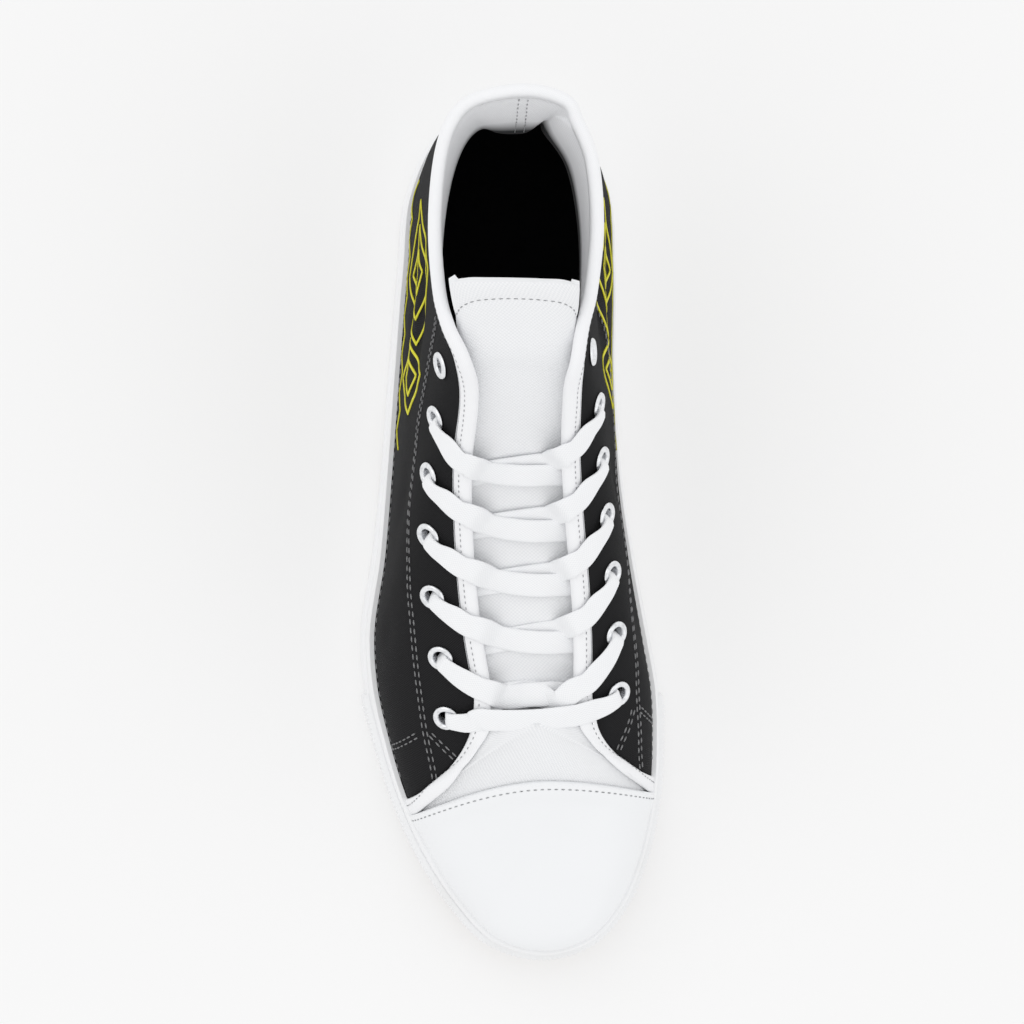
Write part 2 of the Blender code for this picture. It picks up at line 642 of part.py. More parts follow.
def make_outsole():
    """Tread plate inside the foxing: a rim all round, chevron bars across and grooves between."""
    inset = FOXING_THICKNESS + 2 * GAP
    half = len(COLUMNS)
    lateral = np.array([side_point(knot, inset, ground) for knot in LOOP_KNOTS[:half]])
    medial_knots = [LOOP_KNOTS[0]] + LOOP_KNOTS[:half - 2:-1]
    medial = np.array([side_point(knot, inset, ground) for knot in medial_knots])
    first = lateral[0, 1]
    last = lateral[-1, 1]
    pitch = LUG_BAR_LENGTH + LUG_GROOVE_LENGTH
    rounding = (0.008, 0.03, 0.08, 0.16, 0.30)
    end_length = 0.075 * SOLE_LENGTH
    bars = int((last - first - 2 * end_length) / pitch)
    lead = 0.5 * (last - first - bars * pitch)
    stations = [first + lead * share for share in rounding]
    kinds = [False] * len(rounding)
    for bar in range(bars):
        stations.append(first + lead + bar * pitch)
        kinds.append(True)
        stations.append(first + lead + bar * pitch + LUG_GROOVE_LENGTH)
        kinds.append(False)
    stations.extend(last - lead * share for share in reversed(rounding))
    kinds.extend([False] * len(rounding))

    rows = []
    for index, station in enumerate(stations):
        left = np.interp(station, lateral[:, 1], lateral[:, 0])
        right = np.interp(station, medial[:, 1], medial[:, 0])
        rim_width = min(LUG_RIM_WIDTH, (right - left) / 3)
        inner = len(rounding) <= index < len(stations) - len(rounding)
        chevron = LUG_CHEVRON if inner else 0.0
        rows.append([(left, station), (left + rim_width, station), (0.5 * (left + right), station + chevron),
                     (right - rim_width, station), (right, station)])

    points = []
    numbers = {}

    def corner(row, column, level):
        key = (row, column, level)
        if key not in numbers:
            side, along = rows[row][column]
            rise = {"lug": 0.0, "groove": LUG_DEPTH, "top": OUTSOLE_THICKNESS}[level]
            numbers[key] = len(points)
            points.append((side, along, ground(along) + rise))
        return numbers[key]

    def level_of(row, column):
        return "groove" if kinds[row] and column in (1, 2) else "lug"

    faces = []
    last_row = len(rows) - 1
    for row in range(last_row):
        for column in range(4):
            level = level_of(row, column)
            faces.append((corner(row, column, level), corner(row, column + 1, level),
                          corner(row + 1, column + 1, level), corner(row + 1, column, level)))
            if column and level_of(row, column - 1) != level:
                faces.append((corner(row, column, "lug"), corner(row + 1, column, "lug"),
                              corner(row + 1, column, "groove"), corner(row, column, "groove")))
            if row and level_of(row - 1, column) != level:
                faces.append((corner(row, column, "lug"), corner(row, column + 1, "lug"),
                              corner(row, column + 1, "groove"), corner(row, column, "groove")))
        faces.append((corner(row, 0, "top"), corner(row, 4, "top"),
                      corner(row + 1, 4, "top"), corner(row + 1, 0, "top")))
        for column in (0, 4):
            faces.append((corner(row, column, "lug"), corner(row + 1, column, "lug"),
                          corner(row + 1, column, "top"), corner(row, column, "top")))
    for row in (0, last_row):
        under = [corner(row, column, "lug") for column in range(5)]
        faces.append(tuple(under + [corner(row, 4, "top"), corner(row, 0, "top")]))
    solid("outsole", points, faces, (0.55, 0.42, 0.28), 0.75)


# Upper

def wall_rows(side, column, low, high):
    """Points up one column, low and high being offsets out of the base surface."""
    foot = wall_foot(side, column)
    start = wall(side, column, 0.0)
    normal = wall_normal(side, column, 0.0)
    level = unit(np.array([normal[0], normal[1], 0.0]))
    outer = [foot + level * high]
    inner = [foot + level * low]
    outer.append(start + level * high)
    inner.append(start + level * low)
    for t in T_STEPS[1:]:
        place = wall(side, column, t)
        normal = wall_normal(side, column, t)
        outer.append(place + normal * high)
        inner.append(place + normal * low)
    return outer, inner


def make_upper():
    """One hollow shell: the quarters stand a step proud of the vamp, and the sole closes it."""
    strips = []
    for side, column in LOOP:
        if column < CORNER:
            strips.append((side, column, QUARTER_STEP))
        elif column > CORNER:
            strips.append((side, column, 0.0))
        elif side == LATERAL:
            strips.append((side, column, QUARTER_STEP))
            strips.append((side, column, 0.0))
        else:
            strips.append((side, column, 0.0))
            strips.append((side, column, QUARTER_STEP))
    outer = []
    inner = []
    for side, column, step in strips:
        out_points, in_points = wall_rows(side, column, -VAMP_WALL, step)
        outer.append(out_points)
        inner.append(in_points)
    rows = len(outer[0])
    count = len(strips)
    points = [point for strip in outer for point in strip] + [point for strip in inner for point in strip]
    under = count * rows
    faces = []
    for index in range(count):
        here = index * rows
        there = (index + 1) % count * rows
        for row in range(rows - 1):
            quad = (here + row, there + row, there + row + 1, here + row + 1)
            faces.append(quad)
            faces.append(tuple(under + corner for corner in reversed(quad)))
        faces.append((here, there, under + there, under + here))
        opening = strips[index][1] <= RIDGE and strips[(index + 1) % count][1] <= RIDGE
        if opening:
            top = rows - 1
            faces.append((here + top, there + top, under + there + top, under + here + top))
    upper = solid("upper", points, faces, (0.028, 0.028, 0.03), 0.85)
    return upper


def make_toe_cap():
    """Rubber cap over the toe from the same columns, with a raised strip along its rear edge."""
    depth = top_at(LATERAL, CAP + 1.0)[1] - top_at(LATERAL, CAP)[1]
    strip = TOE_CAP_STRIP_WIDTH / depth
    ramp = TOE_CAP_STRIP_RISE / depth
    columns = [float(CAP), CAP + strip, CAP + strip + ramp]
    columns += [column for column in COLUMNS if column > CAP + strip + 2 * ramp]
    rises = {column: TOE_CAP_STRIP_RISE if column <= CAP + strip else 0.0 for column in columns}
    loop = [(LATERAL, column) for column in columns] + [(MEDIAL, column) for column in columns[-2::-1]]
    steps = T_STEPS
    top = []
    bottom = []
    for side, column in loop:
        high = GAP + TOE_CAP_THICKNESS + rises[column]
        outer, inner = wall_rows(side, column, GAP, high)
        top.append(outer[1:])
        bottom.append(inner[1:])
    rows = len(steps)
    count = len(loop)
    points = [point for strip_points in top for point in strip_points]
    points += [point for strip_points in bottom for point in strip_points]
    under = count * rows
    faces = []
    for index in range(count - 1):
        here = index * rows
        there = here + rows
        for row in range(rows - 1):
            quad = (here + row, there + row, there + row + 1, here + row + 1)
            faces.append(quad)
            faces.append(tuple(under + corner for corner in reversed(quad)))
        faces.append((here, there, under + there, under + here))
    for here in (0, (count - 1) * rows):
        for row in range(rows - 1):
            faces.append((here + row, here + row + 1, under + here + row + 1, under + here + row))
    solid("toe_cap", points, faces, (0.86, 0.88, 0.90), 0.35)


# Binding: the quarter's edge from the foxing over the vamp, up the throat and round the collar

ROLLED_SECTION = [(0.05, 0.30), (0.30, 0.90), (0.62, 1.00), (0.92, 0.45), (1.00, -0.35), (0.85, -0.85),
                  (0.50, -1.00), (0.05, -0.95)]
STRIP_SECTION = [(0.05, 0.00), (0.05, 0.85), (0.35, 1.00), (0.80, 0.95), (0.97, 0.60), (1.00, 0.00),
                 (0.70, 0.00), (0.35, 0.00)]


def edge_frame(side, column):
    """Place on the opening's edge, its outward normal and the direction away from the quarter."""
    place = top_at(side, column)
    step = 0.05
    tangent = unit(top_at(side, min(column + step, CORNER)) - top_at(side, max(column - step, 0.0)))
    if column < step:
        tangent = np.array([-1.0 if side == LATERAL else 1.0, 0.0, 0.0])
    turn = max(0.0, column - (CORNER - 1))
    normal = (1 - turn) * wall_normal(side, min(column, CORNER - 1), 1.0)
    if turn > 0.0:
        normal = normal + turn * wall_normal(side, CORNER, 1.0)
    normal = unit(normal - tangent * np.dot(normal, tangent))
    away = np.cross(tangent, normal) if side == LATERAL else np.cross(normal, tangent)
    return place, normal, away


def vamp_place(side, t, distance):
    """Point of the vamp a distance ahead of the quarter's front edge, with its normal."""
    columns = np.linspace(CORNER, CAP, 4 * (CAP - CORNER) + 1)
    reach = chord_knots([wall(side, column, t) for column in columns])
    column = float(np.interp(distance, reach, columns))
    return wall(side, column, t), wall_normal(side, column, t)


def rolled_section(side, column):
    """Section of the rolled edge round the throat and collar."""
    place, normal, away = edge_frame(side, column)
    section = []
    for across, up in ROLLED_SECTION:
        depth = BINDING_OUTSIDE if up > 0 else BINDING_INSIDE
        section.append(place + away * (GAP + across * BINDING_WIDTH) + normal * up * depth)
    return np.array(section)


def raised_section(side, column):
    """Section of the strip where it leaves the vamp and rises to the rolled edge."""
    place, normal, away = edge_frame(side, column)
    section = []
    for across, up in STRIP_SECTION:
        height = STRIP_GAP + up * BINDING_STRIP_THICKNESS
        section.append(place + away * (GAP + across * BINDING_WIDTH) + normal * height)
    return np.array(section)


def flat_section(side, t):
    """Section of the strip lying on the vamp, as wide as the toe cap leaves room for."""
    room = np.linalg.norm(wall(side, CAP, t) - wall(side, CORNER, t))
    width = min(BINDING_WIDTH, room - 4 * GAP)
    section = []
    for across, up in STRIP_SECTION:
        place, normal = vamp_place(side, t, GAP + across * width)
        section.append(place + normal * (STRIP_GAP + up * BINDING_STRIP_THICKNESS))
    return np.array(section)


def edge_section(side, column):
    """Section of the binding at a column: raised near the throat's corner, rolled further back."""
    distance = np.linalg.norm(top_at(side, column) - top_at(side, CORNER))
    flatness = float(np.clip(1.0 - distance / BINDING_TURN_LENGTH, 0.0, 1.0))
    return (1 - flatness) * rolled_section(side, column) + flatness * raised_section(side, column)


def binding_half(side):
    """Sections from the foxing over the vamp, up the throat and round to the back."""
    sections = [flat_section(side, t) for t in T_STEPS]
    sections[0] = sections[0] + np.array([0.0, 0.0, GAP])
    for column in reversed([column for column in COLUMNS if column < CORNER]):
        sections.append(edge_section(side, column))
    return sections


def make_binding():
    """Strip that edges each quarter: flat on the vamp, rolled round the throat and collar."""
    points, faces = sweep(binding_half(LATERAL) + binding_half(MEDIAL)[-2::-1])
    solid("binding", points, faces, (0.86, 0.86, 0.87), 0.7)


# Tongue

def tongue_line(column):
    """Places across the tongue's face under the two edges of the throat at one column."""
    under = VAMP_WALL + BINDING_INSIDE
    line = []
    for side in SIDES:
        top = top_at(side, column)
        normal = wall_normal(side, column, 1.0)
        height = np.linalg.norm(top - wall(side, column, 0.8)) / 0.2
        t_low = 1.0 - TONGUE_UNDERLAP / height
        low = wall(side, column, t_low) - wall_normal(side, column, t_low) * under
        pair = [low, top - normal * under]
        line.append(pair if side == LATERAL else pair[::-1])
    lateral, medial = line
    span = np.linalg.norm(medial[0] - lateral[1])
    leaving = unit(lateral[1] - lateral[0]) * span * TONGUE_CROWN
    arriving = unit(medial[1] - medial[0]) * span * TONGUE_CROWN
    rows = [lateral[0]]
    for share in np.linspace(0.0, 1.0, 7):
        rows.append((2 * share ** 3 - 3 * share ** 2 + 1) * lateral[1]
                    + (share ** 3 - 2 * share ** 2 + share) * leaving
                    + (3 * share ** 2 - 2 * share ** 3) * medial[0] + (share ** 3 - share ** 2) * arriving)
    rows.append(medial[1])
    slope = unit(top_at(LATERAL, column + 0.2) + top_at(MEDIAL, column + 0.2)
                 - top_at(LATERAL, column - 0.2) - top_at(MEDIAL, column - 0.2))
    lift = unit(np.cross(medial[0] - lateral[1], slope))
    lift = lift if lift[2] > 0 else -lift
    knots = chord_knots(rows)
    return smooth_curve(knots / knots[-1], rows), slope, lift


def tongue_grid():
    """Face of the tongue from its top hem down to its tuck under the vamp."""
    shares = np.linspace(0.0, 1.0, TONGUE_COLUMNS)
    corner_line, slope, _ = tongue_line(COLLAR_CORNER + 0.3)
    first = np.array([corner_line(share) for share in shares])
    grid = []
    for step in (1.0, 0.65, 0.3):
        rounding = np.array([1 - (2 * share - 1) ** 4 for share in shares]) * TONGUE_CORNER * step ** 4
        back = -slope * TONGUE_RISE * step
        narrow = 1.0 - TONGUE_PINCH * (1.0 - step) + TONGUE_FLARE * step ** 3
        centre = first[TONGUE_COLUMNS // 2]
        row = []
        for index in range(TONGUE_COLUMNS):
            place = first[index] + back - slope * rounding[index]
            place[0] = centre[0] + (place[0] - centre[0]) * narrow
            row.append(place)
        grid.append(row)
    columns = [COLLAR_CORNER + 0.3] + [column for column in COLUMNS if COLLAR_CORNER + 0.6 < column < CORNER]
    for column in columns:
        line = tongue_line(column)[0]
        grid.append([line(share) for share in shares])
    line, slope, _ = tongue_line(CORNER)
    last = np.array([line(share) for share in shares])
    centre = last[TONGUE_COLUMNS // 2]
    grid.append(list(last))
    grid.append([centre + slope * TONGUE_TUCK + (place - centre) * TONGUE_FOOT for place in last])
    return np.array(grid)


def make_tongue():
    grid = tongue_grid()
    normals = grid_normals(grid)
    points, faces = plate(grid, grid - normals * TONGUE_THICKNESS)
    solid("tongue", points, faces, (0.85, 0.85, 0.86), 0.85)


# Eyelets

def edge_points(side):
    """Places close together along the quarter's edge, from the foxing to the back."""
    front = [wall(side, CORNER, share) for share in np.linspace(0.0, 1.0, 2 * OUTLINE_FINENESS)]
    return np.array(front + [top_at(side, column) for column in np.linspace(CORNER, 0, 8 * OUTLINE_FINENESS)])


EDGE_POINTS = {side: edge_points(side) for side in SIDES}


def down_from_edge(side, column, distance):
    """Share t of the place on a column that lies a distance from the quarter's edge."""
    shares = np.linspace(1.0, 0.5, OUTLINE_FINENESS)
    reach = [min(np.linalg.norm(EDGE_POINTS[side] - wall(side, column, share), axis=1)) for share in shares]
    return float(np.interp(distance, reach, shares))


def eyelet_places(side):
    """Column and t of each eyelet, evenly spread along a line beside the edge of the throat."""
    first, last = EYELET_STATIONS[side]
    columns = np.linspace(CORNER - 0.4, COLLAR_CORNER - 1.0, 4 * OUTLINE_FINENESS)
    shares = [down_from_edge(side, column, EYELET_SETBACK) for column in columns]
    places = np.array([wall(side, column, share) for column, share in zip(columns, shares)])
    reach = chord_knots(places)
    stations = places[:, 1] / SOLE_LENGTH
    low = np.interp(first, stations[::-1], reach[::-1])
    high = np.interp(last, stations[::-1], reach[::-1])
    found = []
    for distance in np.linspace(low, high, EYELET_COUNT):
        column = float(np.interp(distance, reach, columns))
        found.append((column, down_from_edge(side, column, EYELET_SETBACK)))
    return found


EYELETS = {side: eyelet_places(side) for side in SIDES}
EYELET_BARREL_RADIUS = EYELET_HOLE_RADIUS + EYELET_BARREL_WALL
EYELET_DEPTH = VAMP_WALL + QUARTER_STEP + 2 * GAP


def eyelet_frame(side, column, t):
    """World matrix at an eyelet, its Z axis out of the quarter and its origin on the quarter's face."""
    normal = wall_normal(side, column, t)
    place = shoe_to_world(wall(side, column, t) + normal * (QUARTER_STEP + GAP))
    turn = Vector((0, 0, 1)).rotation_difference(direction_to_world(normal))
    return Matrix.Translation(place) @ turn.to_matrix().to_4x4()


def make_eyelets(upper):
    """Flanged rings turned from one profile, and a hole for each in the upper."""
    hole = EYELET_HOLE_RADIUS
    crest = EYELET_FLANGE_HEIGHT
    profile = [
        (hole, 0.5 * crest),
        (hole + 0.35 * (EYELET_FLANGE_RADIUS - hole), crest),
        (EYELET_FLANGE_RADIUS, 0.4 * crest),
        (EYELET_FLANGE_RADIUS, 0.0),
        (EYELET_BARREL_RADIUS, 0.0),
        (EYELET_BARREL_RADIUS, -EYELET_DEPTH),
        (hole, -EYELET_DEPTH),
    ]
    count = len(profile)
    mesh = bpy.data.meshes.new("eyelet_profile")
    mesh.from_pydata([(radius, 0.0, up) for radius, up in profile],
                     [(index, (index + 1) % count) for index in range(count)], [])
    mesh.materials.append(finish("eyelet_metal", (0.75, 0.76, 0.78), 0.28, 1.0))
    cutter_radius = (EYELET_BARREL_RADIUS + GAP) / math.cos(math.pi / EYELET_SIDES)
    holes = bmesh.new()
    for side in SIDES:
        for number, (column, t) in enumerate(EYELETS[side], 1):
            frame = eyelet_frame(side, column, t)
            ring = bpy.data.objects.new(f"eyelet_{side}_{number}", mesh)
            ring.matrix_world = frame
            SHOE.objects.link(ring)
            screw = ring.modifiers.new("turn", "SCREW")
            screw.steps = EYELET_SIDES
            screw.render_steps = EYELET_SIDES
            screw.use_merge_vertices = True
            screw.merge_threshold = 0.00001
            screw.use_normal_calculate = False
            bmesh.ops.create_cone(holes, cap_ends=True, segments=EYELET_SIDES, radius1=cutter_radius,
                                  radius2=cutter_radius, depth=6 * EYELET_DEPTH, matrix=frame)
    cutter_mesh = bpy.data.meshes.new("eyelet_holes")
    holes.to_mesh(cutter_mesh)
    holes.free()
    cutter = bpy.data.objects.new("eyelet_holes", cutter_mesh)
    cutter.hide_render = True
    cutter.display_type = "WIRE"
    CUTTERS.objects.link(cutter)
    cut = upper.modifiers.new("eyelet_holes", "BOOLEAN")
    cut.operation = "DIFFERENCE"
    cut.solver = "EXACT"
    cut.object = cutter


# Lace: one bar at the bottom and a crossing above it for each further pair but the top one

LACE_LIFT = GAP + 0.5 * LACE_THICKNESS
FLAP_REACH = EYELET_SETBACK - EYELET_FLANGE_RADIUS - LACE_CLEARANCE
CREST_POINTS = (1, 2, 3)


def edge_bed(side, column):
    """Where the lace's middle runs over the quarter's edge at one column, with outward directions."""
    place, normal, away = edge_frame(side, column)
    bed = [(place - away * FLAP_REACH + normal * (QUARTER_STEP + LACE_LIFT + GAP), normal)]
    section = edge_section(side, column)
    for number in CREST_POINTS:
        along = section[number + 1] - section[number - 1]
        out = unit(normal * np.dot(along, away) - away * np.dot(along, normal))
        bed.append((section[number] + out * (LACE_LIFT + GAP), out))
    return bed


def lace_bed(column):
    """Where a lace runs from the lateral flap over the tongue to the medial flap at one column."""
    bed = edge_bed(LATERAL, column)
    line, _, up = tongue_line(column)
    bed += [(line(share) + up * (LACE_LIFT + 2 * GAP), up) for share in LACE_REST_SHARES]
    bed += edge_bed(MEDIAL, column)[::-1]
    return np.array([np.concatenate([place, out]) for place, out in bed])


def edge_column(side, eyelet):
    """Column at which the quarter's edge is nearest to an eyelet."""
    columns = np.linspace(CORNER, COLLAR_CORNER - 1.0, 8 * OUTLINE_FINENESS)
    distances = [np.linalg.norm(top_at(side, column) - wall(side, *eyelet)) for column in columns]
    return float(columns[int(np.argmin(distances))])


def lace_strand(lateral_column, medial_column, first, last, raised):
    """Flat strip from one step of the bed to another, its columns turning evenly across the throat."""
    middle = lace_bed(0.5 * (lateral_column + medial_column))[:, :3]
    knots = chord_knots(middle)
    shares = (knots + EYELET_FLANGE_RADIUS) / (knots[-1] + 2 * EYELET_FLANGE_RADIUS)
    columns = lateral_column + shares * (medial_column - lateral_column)
    sections = []
    for index in range(first, last + 1):
        step = 0.1
        here = lace_bed(columns[index])[index]
        ahead = lace_bed(min(columns[index] + step, CORNER))[index][:3]
        behind = lace_bed(columns[index] - step)[index][:3]
        turn = (ahead - behind) / (2 * step)
        half = 0.5 * LACE_WIDTH / np.linalg.norm(turn)
        section = []
        for offset, height in ((half, 0.5), (-half, 0.5), (-half, -0.5), (half, -0.5)):
            row = lace_bed(min(columns[index] + offset, CORNER))[index]
            out = unit(here[3:] + row[3:])
            section.append(row[:3] + out * (raised + height * LACE_THICKNESS))
        sections.append(section)
    return sweep(sections)


def make_laces():
    color = (0.88, 0.88, 0.88)
    steps = 2 * (1 + len(CREST_POINTS)) + len(LACE_REST_SHARES)
    rest = 1 + len(CREST_POINTS)
    columns = {side: [edge_column(side, eyelet) for eyelet in EYELETS[side]] for side in SIDES}
    bar = []
    for side in SIDES:
        pace = np.linalg.norm(top_at(side, CORNER) - top_at(side, CORNER - 1))
        bar.append(min(columns[side][0], CORNER - LACE_BAR_SETBACK / pace))
    points, faces = lace_strand(*bar, 0, steps - 1, LACE_BAR_LIFT)
    solid("lace_bar_1", points, faces, color, 0.8)
    for number in range(2, LACE_CROSSINGS + 2):
        room = rest if number > 2 else rest + len(LACE_REST_SHARES) // 2
        points, faces = lace_strand(columns[LATERAL][number - 1], columns[MEDIAL][number - 2],
                                    0, steps - 1 - room, LACE_CROSSING_LIFT)
        over = solid(f"lace_cross_{number}", points, faces, color, 0.8)
        points, faces = lace_strand(columns[LATERAL][number - 2], columns[MEDIAL][number - 1],
                                    room, steps - 1, 0.0)
        under = solid(f"lace_under_{number}", points, faces, color, 0.8, collection=CUTTERS)
        under.hide_render = True
        under.display_type = "WIRE"
        join = over.modifiers.new("crossing", "BOOLEAN")
        join.operation = "UNION"
        join.solver = "EXACT"
        join.object = under


make_midsole()
make_insole()
make_foxing()
make_toe_bumper()
make_outsole()
upper_shell = make_upper()
make_toe_cap()
make_binding()
make_tongue()
make_eyelets(upper_shell)
make_laces()
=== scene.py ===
"""Looks of the high top sneaker: canvas, rubber, binding, tongue, eyelets, lace and stitches.

Lengths are metres. Places are worked out in shoe measures, as in the part's own source: side
(towards the big toe is positive), along (from the heel end to the toe end) and up. to_world()
turns them into the frame, where the toe points to -Y and the big toe side is +X.
"""

import math
from collections import namedtuple
from functools import lru_cache

import bmesh
import bpy
import numpy as np
from mathutils import Matrix, Vector


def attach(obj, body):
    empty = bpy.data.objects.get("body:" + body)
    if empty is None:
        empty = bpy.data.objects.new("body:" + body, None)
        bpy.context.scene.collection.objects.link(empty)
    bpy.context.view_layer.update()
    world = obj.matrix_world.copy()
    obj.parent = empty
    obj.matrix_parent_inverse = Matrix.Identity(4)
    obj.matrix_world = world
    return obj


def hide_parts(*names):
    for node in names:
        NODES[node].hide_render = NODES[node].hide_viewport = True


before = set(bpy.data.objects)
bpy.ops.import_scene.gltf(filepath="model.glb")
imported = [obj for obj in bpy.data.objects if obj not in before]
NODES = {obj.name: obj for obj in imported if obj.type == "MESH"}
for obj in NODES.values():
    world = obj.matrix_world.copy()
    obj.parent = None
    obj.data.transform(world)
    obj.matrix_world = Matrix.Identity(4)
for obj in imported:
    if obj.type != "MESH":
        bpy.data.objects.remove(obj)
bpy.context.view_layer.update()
ROOT = "root"

# Driving sizes of the last and the sole, the same as the solids have
SOLE_LENGTH = 0.2885
BALL_WIDTH = 0.1024
HEEL_WIDTH = 0.0715
COLLAR_HEIGHT = 0.138
INSTEP_HEIGHT = 0.060
TOE_HEIGHT = 0.044
TOE_SPRING = 0.009
ARCH_LIFT = 0.0012
GAP = 0.0003
FOXING_HEIGHT = 0.031
FOXING_THICKNESS = 0.003
FOXING_STEP = 0.0007
FOXING_STEP_SHARE = 0.60
FOXING_ROUND = 0.0015
FOXING_GROUND_CLEARANCE = 0.0008
HEEL_SEAT = 0.0185
BUMPER_THICKNESS = 0.0011
BUMPER_RIB_DEPTH = 0.0005
BUMPER_START = 0.695
BUMPER_BOTTOM_MARGIN = 0.0012
VAMP_WALL = 0.0016
QUARTER_STEP = 0.0007
TOE_CAP_THICKNESS = 0.0013
TOE_CAP_STRIP_WIDTH = 0.0055
TOE_CAP_STRIP_RISE = 0.0006
BINDING_WIDTH = 0.0056
BINDING_OUTSIDE = 0.0014
BINDING_INSIDE = 0.0028
BINDING_STRIP_THICKNESS = 0.0013
BINDING_TURN_LENGTH = 0.0168
STRIP_GAP = 0.0006
TONGUE_THICKNESS = 0.0026
TONGUE_CROWN = 0.75
TONGUE_UNDERLAP = 0.009
TONGUE_TUCK = 0.010
TONGUE_RISE = 0.0275
TONGUE_FLARE = 0.11
TONGUE_FOOT = 0.70
EYELET_COUNT = 7
EYELET_SETBACK = 0.0088
EYELET_HOLE_RADIUS = 0.0024
EYELET_BARREL_WALL = 0.0003
EYELET_FLANGE_RADIUS = 0.0044
EYELET_FLANGE_HEIGHT = 0.0009
LACE_WIDTH = 0.0084
LACE_THICKNESS = 0.0012
FINENESS = 24

OutlineRow = namedtuple("OutlineRow", "station lateral medial ball lean")
HEEL_END = OutlineRow(0.000, 0.004, 0.004, 0.00, 0.0)
OUTLINE = [
    OutlineRow(0.010, -0.171, 0.168, 0.00, 0.0),
    OutlineRow(0.049, -0.368, 0.364, 0.00, 0.0),
    OutlineRow(0.111, -0.485, 0.478, 0.00, 0.0),
    OutlineRow(0.198, -0.523, 0.506, 0.00, 0.0),
    OutlineRow(0.315, -0.520, 0.470, 0.20, 0.1),
    OutlineRow(0.437, -0.497, 0.447, 0.50, 0.2),
    OutlineRow(0.530, -0.486, 0.459, 0.75, 0.4),
    OutlineRow(0.631, -0.489, 0.480, 1.00, 0.5),
    OutlineRow(0.686, -0.478, 0.507, 1.00, 0.5),
    OutlineRow(0.749, -0.433, 0.507, 1.00, 0.3),
    OutlineRow(0.818, -0.371, 0.493, 1.00, 0.2),
    OutlineRow(0.884, -0.287, 0.452, 1.00, 0.2),
    OutlineRow(0.939, -0.186, 0.386, 1.00, 0.2),
    OutlineRow(0.981, -0.073, 0.283, 1.00, 0.2),
]
TOE_END = OutlineRow(1.000, 0.115, 0.115, 1.00, 0.2)

LevelRow = namedtuple("LevelRow", "station foxing seat")
LEVELS = [
    LevelRow(0.00, 1.00, 1.00),
    LevelRow(0.22, 0.97, 1.00),
    LevelRow(0.42, 0.88, 0.88),
    LevelRow(0.58, 0.83, 0.66),
    LevelRow(0.70, 0.82, 0.57),
    LevelRow(0.85, 0.81, 0.56),
    LevelRow(1.00, 0.80, 0.56),
]
SPRING_START = 0.69
SPRING_POWER = 1.8
ARCH_START = 0.30
ARCH_END = 0.52

